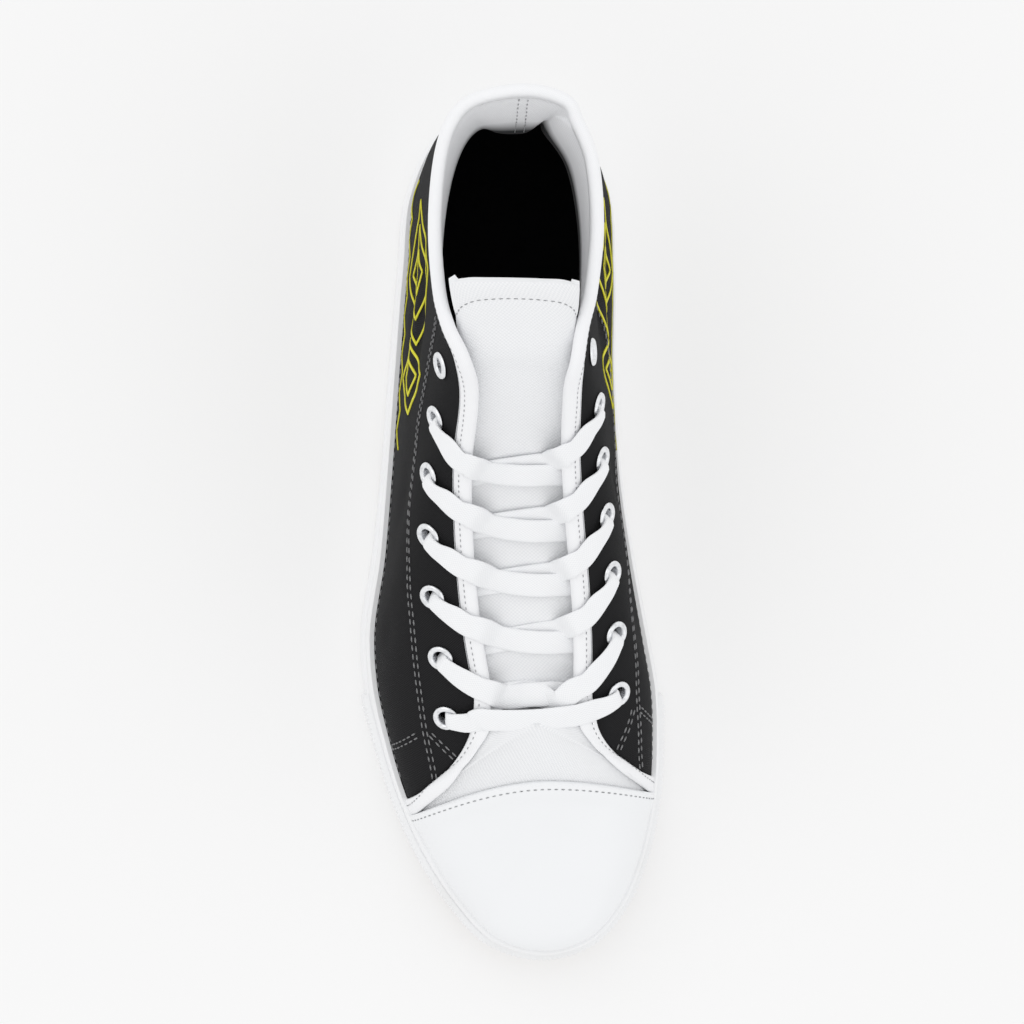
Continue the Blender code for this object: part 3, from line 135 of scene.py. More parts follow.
# Columns of the upper from the back of the heel round to the toe: foot, top and pulls of each
Row = namedtuple("Row", "name lateral_base medial_base top lateral_top medial_top climb ball "
                        "rise spread reach lead drop pitch")
WALL = [
    Row("back", 0.0, 0.0, 0.028, -0.02, -0.02, 2.0, 0.0, 0.33, 0.03, 0.0, -0.6, 0.45, 0.0),
    Row("heel turn", 0.014, 0.014, 0.038, -0.24, 0.16, 1.985, 0.0, 0.33, 0.03, 0.0, -0.3, 0.45, 0.0),
    Row("heel side", 0.049, 0.049, 0.062, -0.341, 0.221, 1.96, 0.0, 0.33, 0.03, 0.0, 0.0, 0.42, 0.0),
    Row("heel", 0.104, 0.104, 0.104, -0.393, 0.288, 1.93, 0.0, 0.33, 0.03, 0.0, 0.0, 0.4, 0.0),
    Row("seat", 0.18, 0.18, 0.173, -0.414, 0.312, 1.905, 0.0, 0.34, 0.02, 0.0, 0.0, 0.38, 0.0),
    Row("ankle", 0.263, 0.263, 0.243, -0.397, 0.285, 1.93, 0.0, 0.36, 0.015, 0.1, 0.1, 0.34, 0.0),
    Row("shank", 0.336, 0.336, 0.284, -0.364, 0.249, 1.985, 0.0, 0.38, 0.01, 0.26, 0.2, 0.22, -0.2),
    Row("collar corner", 0.399, 0.399, 0.319, -0.298, 0.227, 1.965, 0.1, 0.4, 0.01, 0.4, 0.3, 0.15, -0.5),
    Row("top eyelet", 0.458, 0.458, 0.36, -0.264, 0.218, 1.82, 0.2, 0.42, 0.0, 0.48, 0.34, 0.11, -0.65),
    Row("arch", 0.52, 0.52, 0.419, -0.267, 0.217, 1.62, 0.35, 0.44, 0.0, 0.52, 0.36, 0.08, -0.65),
    Row("instep", 0.582, 0.582, 0.485, -0.247, 0.229, 1.44, 0.5, 0.46, 0.0, 0.52, 0.38, 0.06, -0.65),
    Row("joint", 0.645, 0.645, 0.555, -0.217, 0.245, 1.285, 0.65, 0.5, 0.0, 0.48, 0.42, 0.05, -0.6),
    Row("ball", 0.704, 0.704, 0.624, -0.179, 0.251, 1.16, 0.8, 0.54, 0.0, 0.42, 0.44, 0.05, -0.55),
    Row("low eyelet", 0.758, 0.748, 0.679, -0.142, 0.248, 1.065, 0.92, 0.56, 0.0, 0.3, 0.5, 0.03, -0.5),
    Row("throat corner", 0.818, 0.789, 0.711, -0.132, 0.257, 0.99, 1.0, 0.56, 0.0, 0.05, 0.6, 0.02, -0.46),
    Row("vamp edge", 0.823, 0.796, 0.717, -0.039, 0.166, 1.035, 1.0, 0.58, 0.0, 0.22, 0.42, 0.0, -0.48),
    Row("ridge start", 0.829, 0.802, 0.721, 0.066, 0.066, 1.055, 1.0, 0.6, 0.0, 0.38, 0.22, 0.0, -0.48),
    Row("cap edge", 0.836, 0.808, 0.787, 0.112, 0.112, 0.68, 1.0, 0.64, 0.0, 0.52, 0.0, 0.0, -0.4),
    Row("cap side", 0.888, 0.87, 0.842, 0.13, 0.13, 0.33, 1.0, 0.68, 0.0, 0.54, 0.1, 0.0, -0.32),
    Row("toe side", 0.937, 0.929, 0.884, 0.135, 0.135, 0.13, 1.0, 0.72, 0.0, 0.56, 0.3, 0.0, -0.26),
    Row("toe turn", 0.976, 0.974, 0.906, 0.135, 0.135, 0.03, 1.0, 0.76, 0.0, 0.58, 0.5, 0.0, -0.24),
    Row("toe", 1.0, 1.0, 0.914, 0.135, 0.135, 0.0, 1.0, 0.78, 0.0, 0.58, 0.58, 0.0, -0.23),
]
ROW = {row.name: index for index, row in enumerate(WALL)}
CORNER = ROW["throat corner"]
RIDGE = ROW["ridge start"]
CAP = ROW["cap edge"]
TOE = ROW["toe"]
COLLAR_CORNER = ROW["collar corner"]
LATERAL = "lateral"
MEDIAL = "medial"
SIDES = (LATERAL, MEDIAL)
EYELET_STATIONS = {LATERAL: (0.714, 0.322), MEDIAL: (0.687, 0.308)}

# The photograph's camera: focal length in photo pixels, lens distance, tilt about the shoe's length
IMAGE_SIZE = 1024
PHOTO_FOCAL = 4208.2
SENSOR = 36.0
CAMERA_DISTANCE = 1.4
CAMERA_TILT = math.radians(3.0)
CAMERA_AIM = (0.0, 0.1388, 0.040)

# Stitched lines on the quarters, columns and shares of the wall's height
EYESTAY_STITCHES = {
    LATERAL: [(5.6, 0.93), (6.2, 0.74), (7.2, 0.55), (8.2, 0.49), (9.2, 0.52), (10.1, 0.58), (11.0, 0.60),
              (12.1, 0.57), (13.0, 0.51), (14.0, 0.45)],
    MEDIAL: [(4.4, 0.93), (5.0, 0.68), (5.8, 0.48), (7.0, 0.36), (8.0, 0.33), (9.0, 0.35), (10.0, 0.40),
             (11.2, 0.46), (12.1, 0.46), (13.0, 0.39), (14.0, 0.30)],
}
CORNER_STITCHES = {
    LATERAL: [[(13.0, 0.06), (13.0, 0.46)], [(13.1, 0.54), (14.0, 0.68)]],
    MEDIAL: [[(12.5, 0.06), (12.45, 0.42)], [(12.55, 0.50), (14.0, 0.60)]],
}


def smooth_curve(knots, rows, closed=False):
    """A smooth curve through rows of numbers, one row at each knot, as a function of the knot."""
    knots = np.asarray(knots, float)
    rows = np.asarray(rows, float).reshape(len(knots), -1)
    steps = np.diff(knots)
    slopes = np.diff(rows, axis=0) / steps[:, None]
    tangents = np.empty_like(rows)
    before = steps[:-1, None]
    after = steps[1:, None]
    tangents[1:-1] = (slopes[:-1] * after + slopes[1:] * before) / (before + after)
    tangents[0] = slopes[0]
    tangents[-1] = slopes[-1]
    if closed:
        seam = (slopes[-1] * steps[0] + slopes[0] * steps[-1]) / (steps[0] + steps[-1])
        tangents[0] = seam
        tangents[-1] = seam

    def at(knot):
        index = int(np.clip(np.searchsorted(knots, knot) - 1, 0, len(steps) - 1))
        step = steps[index]
        t = (knot - knots[index]) / step
        near = (2 * t ** 3 - 3 * t ** 2 + 1) * rows[index]
        leaving = (t ** 3 - 2 * t ** 2 + t) * step * tangents[index]
        far = (3 * t ** 2 - 2 * t ** 3) * rows[index + 1]
        arriving = (t ** 3 - t ** 2) * step * tangents[index + 1]
        return near + leaving + far + arriving

    return at


def unit(vector):
    return vector / np.linalg.norm(vector)


def blend(first, second, share):
    return first + (second - first) * share


def local_width(ball):
    return HEEL_WIDTH + ball * (BALL_WIDTH - HEEL_WIDTH)


def outline_rows():
    """Corner points of the outline with their lean: side, along, lean."""
    rows = [(HEEL_END.lateral * local_width(HEEL_END.ball), 0.0, HEEL_END.lean)]
    for row in OUTLINE:
        rows.append((row.lateral * local_width(row.ball), row.station * SOLE_LENGTH, row.lean))
    rows.append((TOE_END.lateral * local_width(TOE_END.ball), SOLE_LENGTH, TOE_END.lean))
    for row in reversed(OUTLINE):
        rows.append((row.medial * local_width(row.ball), row.station * SOLE_LENGTH, row.lean))
    rows.append(rows[0])
    return np.array(rows)


def chord_knots(points):
    """Distance along a line of points, from its first one."""
    lengths = np.linalg.norm(np.diff(np.asarray(points, float), axis=0), axis=1)
    return np.concatenate([[0.0], np.cumsum(lengths)])


OUTLINE_POINTS = outline_rows()
OUTLINE_KNOTS = chord_knots(OUTLINE_POINTS[:, :2])
OUTLINE_CURVE = smooth_curve(OUTLINE_KNOTS, OUTLINE_POINTS, closed=True)
TOE_KNOT = OUTLINE_KNOTS[len(OUTLINE) + 1]
TURN_KNOT = OUTLINE_KNOTS[-1]


def outline_samples():
    """Knots spread finely round the outline, with the place of each."""
    knots = []
    for low, high in zip(OUTLINE_KNOTS[:-1], OUTLINE_KNOTS[1:]):
        knots.extend(np.linspace(low, high, FINENESS, endpoint=False))
    knots.append(TURN_KNOT)
    return np.array(knots), np.array([OUTLINE_CURVE(knot) for knot in knots])


SAMPLE_KNOTS, SAMPLE_POINTS = outline_samples()
BUMPER_REACH = GAP + BUMPER_THICKNESS + BUMPER_RIB_DEPTH


def world_centre():
    """Middle of the whole shoe seen from above, with the toe bumper on the outline."""
    ahead = SAMPLE_POINTS[:, 1] > BUMPER_START * SOLE_LENGTH
    grown = np.where(ahead, BUMPER_REACH, 0.0)
    right = np.max(SAMPLE_POINTS[:, 0] + grown)
    left = np.min(SAMPLE_POINTS[:, 0] - grown)
    front = np.max(SAMPLE_POINTS[:, 1]) + BUMPER_REACH
    return 0.5 * (left + right), 0.5 * (np.min(SAMPLE_POINTS[:, 1]) + front)


CENTRE_SIDE, CENTRE_ALONG = world_centre()
MIRROR_ALONG = np.array([1.0, -1.0, 1.0])
WORLD_SHIFT = np.array([-CENTRE_SIDE, CENTRE_ALONG, 0.0])


def to_world(places):
    return np.asarray(places) * MIRROR_ALONG + WORLD_SHIFT


def knot_at(side, station):
    """Knot of the outline's point at a station on one side."""
    if station >= 1.0:
        return TOE_KNOT
    lateral = SAMPLE_KNOTS <= TOE_KNOT
    mask = lateral if side == LATERAL else ~lateral | (SAMPLE_KNOTS == TOE_KNOT)
    knots = SAMPLE_KNOTS[mask]
    places = SAMPLE_POINTS[mask, 1]
    if side == MEDIAL:
        knots = knots[::-1]
        places = places[::-1]
    return float(np.interp(station * SOLE_LENGTH, places, knots))


@lru_cache(maxsize=None)
def rim(knot):
    """Place on the outline, its inward direction and its lean."""
    knot = knot % TURN_KNOT
    here = OUTLINE_CURVE(knot)
    step = 0.0005
    ahead = OUTLINE_CURVE((knot + step) % TURN_KNOT)[:2]
    behind = OUTLINE_CURVE((knot - step) % TURN_KNOT)[:2]
    tangent = unit(ahead - behind)
    return here[:2], np.array([tangent[1], -tangent[0]]), here[2]


def ground(along):
    """Height of the sole's underside above the floor."""
    share = along / SOLE_LENGTH
    spring = np.clip((share - SPRING_START) / (1 - SPRING_START), 0, 1)
    arch = np.clip((share - ARCH_START) / (ARCH_END - ARCH_START), 0, 1)
    return TOE_SPRING * spring ** SPRING_POWER + ARCH_LIFT * math.sin(math.pi * arch) ** 2


LEVEL_CURVE = smooth_curve([row.station for row in LEVELS], [(row.foxing, row.seat) for row in LEVELS])


def foxing_top(along):
    return ground(along) + FOXING_HEIGHT * LEVEL_CURVE(np.clip(along / SOLE_LENGTH, 0, 1))[0]


def step_level(along):
    """Height of the step in the foxing's face."""
    return ground(along) + FOXING_STEP_SHARE * (foxing_top(along) - ground(along))


def low_edge(along):
    return ground(along) + FOXING_GROUND_CLEARANCE


def seat_level(along):
    return ground(along) + HEEL_SEAT * LEVEL_CURVE(np.clip(along / SOLE_LENGTH, 0, 1))[1]


def side_point(knot, inset, up):
    """Point on the leaning sidewall, inset from the outline; up gives the height for an along."""
    place, inward, lean = rim(knot)
    height = up(place[1])
    rise = (height - ground(place[1])) / (foxing_top(place[1]) - ground(place[1]))
    level = place + inward * (inset + lean * FOXING_THICKNESS * rise)
    return np.array([level[0], level[1], height])


# The upper's wall as a surface of columns

UPPER_INSET = FOXING_THICKNESS + GAP + QUARTER_STEP


def top_point(row, side):
    """Top of a column on one side."""
    share = row.lateral_top if side == LATERAL else row.medial_top
    up = float(np.interp(row.climb, (0, 1, 2), (TOE_HEIGHT, INSTEP_HEIGHT, COLLAR_HEIGHT)))
    return (share * local_width(row.ball), row.top * SOLE_LENGTH, up)


def top_curves():
    """Top line of the wall on each side: opening edge, vamp edge and ridge, joined at corners."""
    curves = {}
    for side in SIDES:
        tops = [top_point(row, side) for row in WALL]
        mirrored = [top_point(WALL[1], MEDIAL if side == LATERAL else LATERAL)] + tops[:CORNER + 1]
        curves[side] = [
            smooth_curve(range(-1, CORNER + 1), mirrored),
            smooth_curve(range(CORNER, RIDGE + 1), tops[CORNER:RIDGE + 1]),
            smooth_curve(range(RIDGE, TOE + 1), tops[RIDGE:]),
        ]
    return curves


TOP_CURVES = top_curves()
PULL_CURVE = smooth_curve(range(TOE + 1), [(row.rise, row.spread, row.reach, row.lead, row.drop, row.pitch)
                                           for row in WALL])
BASE_KNOTS = {
    LATERAL: [knot_at(LATERAL, row.lateral_base) for row in WALL],
    MEDIAL: [TURN_KNOT] + [knot_at(MEDIAL, row.medial_base) for row in WALL[1:]],
}


def base_knot(side, column):
    return float(np.interp(column, range(TOE + 1), BASE_KNOTS[side]))


def top_at(side, column):
    if column <= CORNER:
        return TOP_CURVES[side][0](column)
    if column <= RIDGE:
        return TOP_CURVES[side][1](column)
    return TOP_CURVES[side][2](column)


@lru_cache(maxsize=None)
def column_handles(side, column):
    """Four control points of a column, from the foxing's top edge to the top line."""
    knot = base_knot(side, column)
    start = side_point(knot, UPPER_INSET, lambda along: foxing_top(along) + GAP)
    inward = rim(knot)[1]
    top = top_at(side, column)
    rise, spread, reach, lead, drop, pitch = PULL_CURVE(column)
    height = top[2] - start[2]
    low = start + height * np.array([-inward[0] * spread, -inward[1] * spread, rise])
    back = start[:2] - top[:2]
    ahead = lead * back[1]
    high = top + np.array([reach * back[0], ahead, pitch * ahead - drop * height])
    return start, low, high, top


def wall_line(side, column, shares):
    """Points up one column: share 0 at the foxing's top and 1 at the top line."""
    start, low, high, top = column_handles(side, float(column))
    t = np.asarray(shares, float)[:, None]
    s = 1 - t
    return s ** 3 * start + 3 * s * s * t * low + 3 * s * t * t * high + t ** 3 * top


def wall(side, column, t):
    return wall_line(side, column, [t])[0]


@lru_cache(maxsize=None)
def wall_normal(side, column, t):
    """Outward direction of the wall's base surface."""
    if t == 1.0 and column >= RIDGE:
        return unit(np.array([0.0, -PULL_CURVE(column)[5], 1.0]))
    step = 0.02
    low = max(0.0, min(column, TOE) - step)
    high = min(float(TOE), column + step)
    for crease in (CORNER, RIDGE):
        if low < crease < high:
            low = max(low, crease) if column > crease or (crease == CORNER == column) else low
            high = high if low == crease else crease
    across = wall(side, high, t) - wall(side, low, t)
    if column < step or column > TOE - step:
        inward = rim(base_knot(side, column))[1]
        across = np.array([inward[1], -inward[0], 0.0])
    climb = wall(side, column, min(1.0, t + step)) - wall(side, column, max(0.0, t - step))
    normal = unit(np.cross(across, climb))
    outward = np.append(-rim(base_knot(side, column))[1], 1.0)
    return normal if np.dot(normal, outward) > 0 else -normal


def grid_normals(grid):
    """Directions square to a grid of places, from its rows and columns."""
    normals = np.cross(np.gradient(grid, axis=0), np.gradient(grid, axis=1))
    lengths = np.linalg.norm(normals, axis=2, keepdims=True)
    return normals / np.maximum(lengths, 1e-12)


def strip_lengths(grid):
    """Lengths down the rows at the middle and across each row from its last column, as UV."""
    middle = grid[:, grid.shape[1] // 2]
    down = chord_knots(middle)
    across = np.linalg.norm(np.diff(grid, axis=1), axis=2)
    from_last = np.cumsum(across[:, ::-1], axis=1)[:, ::-1]
    from_last = np.concatenate([from_last, np.zeros((len(grid), 1))], axis=1)
    return np.stack([np.repeat(down[:, None], grid.shape[1], axis=1), from_last], axis=2)


# Creases of the canvas: side, both ends as along and up, width, depth
Crease = namedtuple("Crease", "side along up end_along end_up width depth")
CREASES = [
    Crease(LATERAL, 0.052, 0.104, 0.098, 0.088, 0.0050, -0.0016),
    Crease(LATERAL, 0.060, 0.093, 0.104, 0.074, 0.0055, 0.0011),
    Crease(LATERAL, 0.046, 0.083, 0.088, 0.066, 0.0050, -0.0012),
    Crease(LATERAL, 0.118, 0.084, 0.146, 0.056, 0.0060, -0.0010),
    Crease(LATERAL, 0.172, 0.062, 0.186, 0.040, 0.0050, -0.0008),
    Crease(LATERAL, 0.020, 0.060, 0.048, 0.056, 0.0060, -0.0008),
    Crease(MEDIAL, 0.048, 0.108, 0.092, 0.094, 0.0052, -0.0014),
    Crease(MEDIAL, 0.056, 0.096, 0.100, 0.080, 0.0055, 0.0010),
    Crease(MEDIAL, 0.040, 0.078, 0.086, 0.070, 0.0052, -0.0013),
    Crease(MEDIAL, 0.112, 0.092, 0.140, 0.060, 0.0062, -0.0011),
    Crease(MEDIAL, 0.166, 0.060, 0.184, 0.044, 0.0052, -0.0009),
    Crease(MEDIAL, 0.018, 0.062, 0.046, 0.052, 0.0060, -0.0007),
]


def crease_depth(side, places, shares):
    """How far the creases move the canvas out, at places with their shares of the wall."""
    places = np.asarray(places)
    total = np.zeros(places.shape[:-1])
    for crease in CREASES:
        if crease.side != side:
            continue
        start = np.array([crease.along, crease.up])
        run = np.array([crease.end_along, crease.end_up]) - start
        offset = places[..., 1:] - start
        share = np.clip(offset @ run / (run @ run), 0.0, 1.0)
        distance = np.linalg.norm(offset - share[..., None] * run, axis=-1)
        taper = 0.35 + 0.65 * np.sin(math.pi * share) ** 2
        total += crease.depth * taper * np.exp(-(distance / crease.width) ** 2)
    shares = np.asarray(shares)
    fade = np.clip(shares / 0.15, 0, 1) * np.clip((1 - shares) / 0.12, 0, 1)
    return total * fade


def canvas_point(side, column, t, lift=0.0):
    """Place on the quarter's outer face, and its outward direction."""
    base = wall(side, column, t)
    normal = wall_normal(side, float(column), float(t))
    out = QUARTER_STEP + lift + crease_depth(side, base, t)
    return base + normal * out, normal


# Meshes

def to_mesh(name, work):
    mesh = bpy.data.meshes.new(name)
    work.to_mesh(mesh)
    work.free()
    return mesh


def laid_mesh(name, places, uv, outward=None):
    """Mesh of a bmesh grid whose corners are moved onto the places, rows by columns."""
    rows, columns = places.shape[:2]
    work = bmesh.new()
    bmesh.ops.create_grid(work, x_segments=columns - 1, y_segments=rows - 1, size=1.0)
    mesh = to_mesh(name, work)
    corners = np.empty(len(mesh.vertices) * 3)
    mesh.vertices.foreach_get("co", corners)
    corners = corners.reshape(-1, 3)
    row = np.rint((corners[:, 1] + 1) / 2 * (rows - 1)).astype(int)
    column = np.rint((corners[:, 0] + 1) / 2 * (columns - 1)).astype(int)
    world = to_world(places)
    mesh.vertices.foreach_set("co", world[row, column].ravel())
    layer = mesh.uv_layers.new(name="cloth")
    corner_index = np.empty(len(mesh.loops), dtype=np.int32)
    mesh.loops.foreach_get("vertex_index", corner_index)
    layer.uv.foreach_set("vector", uv[row[corner_index], column[corner_index]].ravel())
    mesh.update()
    if outward is not None:
        across = world[:-1, 1:] - world[:-1, :-1]
        ahead = world[1:, :-1] - world[:-1, :-1]
        facing = np.sum(np.cross(across, ahead) * (outward[:-1, :-1] * MIRROR_ALONG))
        if facing < 0:
            mesh.flip_normals()
    return mesh


def weld(mesh, close=False, distance=0.000002, relax=0, within=None):
    """Merges the seams of a mesh, evens it out and closes the ends of a tube, faces outwards."""
    work = bmesh.new()
    work.from_mesh(mesh)
    bmesh.ops.remove_doubles(work, verts=work.verts, dist=distance)
    inner = [corner for corner in work.verts if not corner.is_boundary]
    if within:
        inner = [corner for corner in inner if within(corner.co)]
    for _ in range(relax):
        bmesh.ops.smooth_vert(work, verts=inner, factor=0.5,
                              use_axis_x=True, use_axis_y=True, use_axis_z=True)
    if close:
        ends = [edge for edge in work.edges if edge.is_boundary]
        bmesh.ops.holes_fill(work, edges=ends, sides=0)
        bmesh.ops.recalc_face_normals(work, faces=work.faces)
    work.to_mesh(mesh)
    work.free()
    return mesh


def joined(name, meshes):
    """One mesh out of several."""
    work = bmesh.new()
    for mesh in meshes:
        work.from_mesh(mesh)
    return to_mesh(name, work)


def piece(name, mesh, slot_name, materials, *nodes, sharp=None):
    """A piece of the shoe on the body, with its finish and the solids it stands for."""
    mesh.shade_smooth()
    if sharp is not None:
        mesh.set_sharp_from_angle(angle=math.radians(sharp))
    for material in materials:
        mesh.materials.append(material)
    thing = bpy.data.objects.new(name, mesh)
    bpy.context.scene.collection.objects.link(thing)
    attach(thing, ROOT)
    if nodes:
        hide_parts(*nodes)
    return thing


def thicken(thing, thickness, inner=0):
    """Gives a sheet its thickness on the inside, with the inner faces in another finish."""
    layer = thing.modifiers.new("thickness", "SOLIDIFY")
    layer.thickness = thickness
    layer.offset = -1.0
    layer.material_offset = inner
    layer.material_offset_rim = inner


def settle(thing):
    """Puts the modifiers of a piece into its mesh."""
    graph = bpy.context.evaluated_depsgraph_get()
    mesh = bpy.data.meshes.new_from_object(thing.evaluated_get(graph))
    thing.modifiers.clear()
    thing.data = mesh


def tube_mesh(name, sections, closed=False):
    """Closed mesh through rings of places, with ends or as a loop, and a UV of length and girth."""
    rings = np.concatenate([sections, sections[:, :1]], axis=1)
    if closed:
        rings = np.concatenate([rings, rings[:1]], axis=0)
    girth = np.linalg.norm(np.diff(rings, axis=1), axis=2)
    around = np.concatenate([np.zeros((len(rings), 1)), np.cumsum(girth, axis=1)], axis=1)
    along = chord_knots(rings.mean(axis=1))
    uv = np.stack([np.repeat(along[:, None], rings.shape[1], axis=1), around], axis=2)
    mesh = laid_mesh(name, rings, uv)
    return weld(mesh, close=True)


def round_section(section, count):
    """More points on a closed section, on a smooth line through its corners."""
    section = np.asarray(section)
    closed = np.vstack([section, section[:1]])
    knots = np.arange(len(closed))
    curve = smooth_curve(knots, closed.reshape(len(closed), -1), closed=True)
    steps = np.linspace(0, len(section), count, endpoint=False)
    return np.array([curve(step).reshape(section.shape[1:]) for step in steps])


# Finishes

def add_node(material, kind, inputs=None, **settings):
    """A shader node with its settings, its inputs being values or other nodes' outputs."""
    tree = material.node_tree
    made = tree.nodes.new(kind)
    for key, value in settings.items():
        setattr(made, key, value)
    for key, value in (inputs or {}).items():
        socket = made.inputs[key]
        if isinstance(value, bpy.types.NodeSocket):
            tree.links.new(value, socket)
        else:
            socket.default_value = value
    return made


def math_node(material, operation, *values):
    made = add_node(material, "ShaderNodeMath", dict(enumerate(values)), operation=operation)
    return made.outputs[0]


def new_finish(name, roughness, metallic=0.0, sheen=0.0, gloss=0.5):
    material = bpy.data.materials.new(name)
    material.use_nodes = True
    shader = material.node_tree.nodes["Principled BSDF"]
    shader.inputs["Specular IOR Level"].default_value = gloss
    shader.inputs["Roughness"].default_value = roughness
    shader.inputs["Metallic"].default_value = metallic
    shader.inputs["Sheen Weight"].default_value = sheen
    return material, shader


def link(material, output, socket):
    material.node_tree.links.new(output, socket)


def object_noise(material, scale, detail=3.0):
    """Cloudy variation over the object, 0 to 1."""
    coordinates = add_node(material, "ShaderNodeTexCoord").outputs["Object"]
    inputs = {"Vector": coordinates, "Scale": scale, "Detail": detail}
    noise = add_node(material, "ShaderNodeTexNoise", inputs)
    return noise.outputs["Fac"]


def colour_mix(material, share, first, second):
    mix = add_node(material, "ShaderNodeMix", {0: share}, data_type="RGBA")
    for socket, value in ((mix.inputs[6], first), (mix.inputs[7], second)):
        if isinstance(value, bpy.types.NodeSocket):
            link(material, value, socket)
        else:
            socket.default_value = (*value, 1.0)
    return mix.outputs[2]


def ramp(material, share, low, high):
    """Share of the way from low to high, held at 0 and 1 outside."""
    made = add_node(material, "ShaderNodeMapRange", {"Value": share, "From Min": low, "From Max": high})
    return made.outputs[0]


def weave(material, pitch_along, pitch_across, ribbed):
    """Height of woven threads over the piece's own UV map, 0 to 1."""
    uv = add_node(material, "ShaderNodeTexCoord").outputs["UV"]
    placed = add_node(material, "ShaderNodeMapping", {
        "Vector": uv,
        "Scale": (2 * math.pi / pitch_along, 2 * math.pi / pitch_across, 1.0),
    }).outputs[0]
    parts = add_node(material, "ShaderNodeSeparateXYZ", {0: placed})
    first = math_node(material, "SINE", parts.outputs[0])
    second = math_node(material, "SINE", parts.outputs[1])
    if ribbed:
        height = math_node(material, "MULTIPLY_ADD", second, 0.3, first)
    else:
        height = math_node(material, "MULTIPLY", first, second)
    return math_node(material, "MULTIPLY_ADD", height, 0.5, 0.5)


def bump(material, shader, height, distance):
    node = add_node(material, "ShaderNodeBump", {"Height": height, "Distance": distance, "Strength": 1.0})
    link(material, node.outputs[0], shader.inputs["Normal"])


CLOTH_GLOSS = 0.12


def cloth_finish(name, light, dark, pitches, ribbed=False, depth=0.00016, roughness=0.85, sheen=0.1,
                 cloud=0.12, shade=None):
    """Woven cloth: threads in two tones, a cloudy variation, and their relief."""
    material, shader = new_finish(name, roughness, sheen=sheen, gloss=CLOTH_GLOSS)
    threads = weave(material, *pitches, ribbed)
    tone = colour_mix(material, threads, dark, light)
    clouds = object_noise(material, 60.0)
    worn = tuple((1 - cloud) * value for value in light)
    spread = ramp(material, clouds, 0.35, 0.75)
    tone = colour_mix(material, math_node(material, "MULTIPLY", spread, cloud * 2), tone, worn)
    if shade:
        tone = shade(material, tone)
    link(material, tone, shader.inputs["Base Color"])
    fibres = object_noise(material, 2600.0, 2.0)
    height = math_node(material, "MULTIPLY_ADD", fibres, 0.5, threads)
    bump(material, shader, height, depth)
    return material


SMOOTH_RELIEF = 0.00002
SCUFF_TOP = 0.010


def rubber_finish(name, light, dirt, roughness, grain=1800.0):
    """Moulded rubber: faint clouds of handling, scuffs low down and a fine grain."""
    material, shader = new_finish(name, roughness)
    clouds = ramp(material, object_noise(material, 34.0, 5.0), 0.45, 0.8)
    tone = colour_mix(material, math_node(material, "MULTIPLY", clouds, 0.35), light, dirt)
    coordinates = add_node(material, "ShaderNodeTexCoord").outputs["Object"]
    height = add_node(material, "ShaderNodeSeparateXYZ", {0: coordinates}).outputs[2]
    low = ramp(material, height, SCUFF_TOP, 0.0)
    patches = ramp(material, object_noise(material, 240.0, 4.0), 0.4, 0.8)
    grime = math_node(material, "MULTIPLY", low, patches)
    tone = colour_mix(material, math_node(material, "MULTIPLY", grime, 0.5), tone, dirt)
    link(material, tone, shader.inputs["Base Color"])
    fine = object_noise(material, grain, 2.0)
    bump(material, shader, fine, SMOOTH_RELIEF)
    return material


def metal_finish(name, light, roughness):
    """Plated metal with small differences in its polish."""
    material, shader = new_finish(name, roughness, metallic=1.0)
    clouds = object_noise(material, 900.0)
    worn = tuple(0.72 * value for value in light)
    tone = colour_mix(material, ramp(material, clouds, 0.45, 0.8), light, worn)
    link(material, tone, shader.inputs["Base Color"])
    polish = add_node(material, "ShaderNodeMapRange", {
        "Value": clouds,
        "To Min": roughness - 0.08,
        "To Max": roughness + 0.14,
    }).outputs[0]
    link(material, polish, shader.inputs["Roughness"])
    bump(material, shader, clouds, SMOOTH_RELIEF)
    return material


def lining_shade(material, tone):
    """The lining is white cloth at the collar, with painted shade making it near black further down, for the
    shadow deep inside the shoe.
    """
    uv = add_node(material, "ShaderNodeTexCoord").outputs["UV"]
    depth = add_node(material, "ShaderNodeSeparateXYZ", {0: uv}).outputs[1]
    # Mask of the painted shade, growing with depth down the lining
    dark = ramp(material, depth, LINING_SHADE_START, LINING_SHADE_FULL)
    return colour_mix(material, dark, tone, LINING_SHADOW_TONE)


# Painted shade of the lining: it starts at the first depth and is full near black shadow tone from the second
LINING_SHADE_START = 0.013
LINING_SHADE_FULL = 0.021
LINING_SHADOW_TONE = (0.004, 0.005, 0.007)
CANVAS_PITCHES = (0.00068, 0.00055)
THREAD_PITCHES = (0.0006, 0.0006)
FINE_PITCHES = (0.0008, 0.0008)
BLACK_CANVAS = cloth_finish("black_canvas", (0.021, 0.021, 0.022), (0.010, 0.010, 0.011), CANVAS_PITCHES,
                            ribbed=True, depth=0.00012, cloud=0.08, sheen=0.0)
WHITE_CANVAS = cloth_finish("white_canvas", (0.90, 0.905, 0.915), (0.78, 0.79, 0.81), (0.0012, 0.0010),
                            depth=0.00008, cloud=0.03)
TONGUE_CLOTH = cloth_finish("tongue_cloth", (0.90, 0.905, 0.915), (0.80, 0.81, 0.83), (0.0013, 0.0013),
                            depth=0.00007, cloud=0.03)
BINDING_CLOTH = cloth_finish("binding_cloth", (0.91, 0.915, 0.93), (0.86, 0.865, 0.88), FINE_PITCHES,
                             depth=0.00004, cloud=0.03, roughness=0.7)
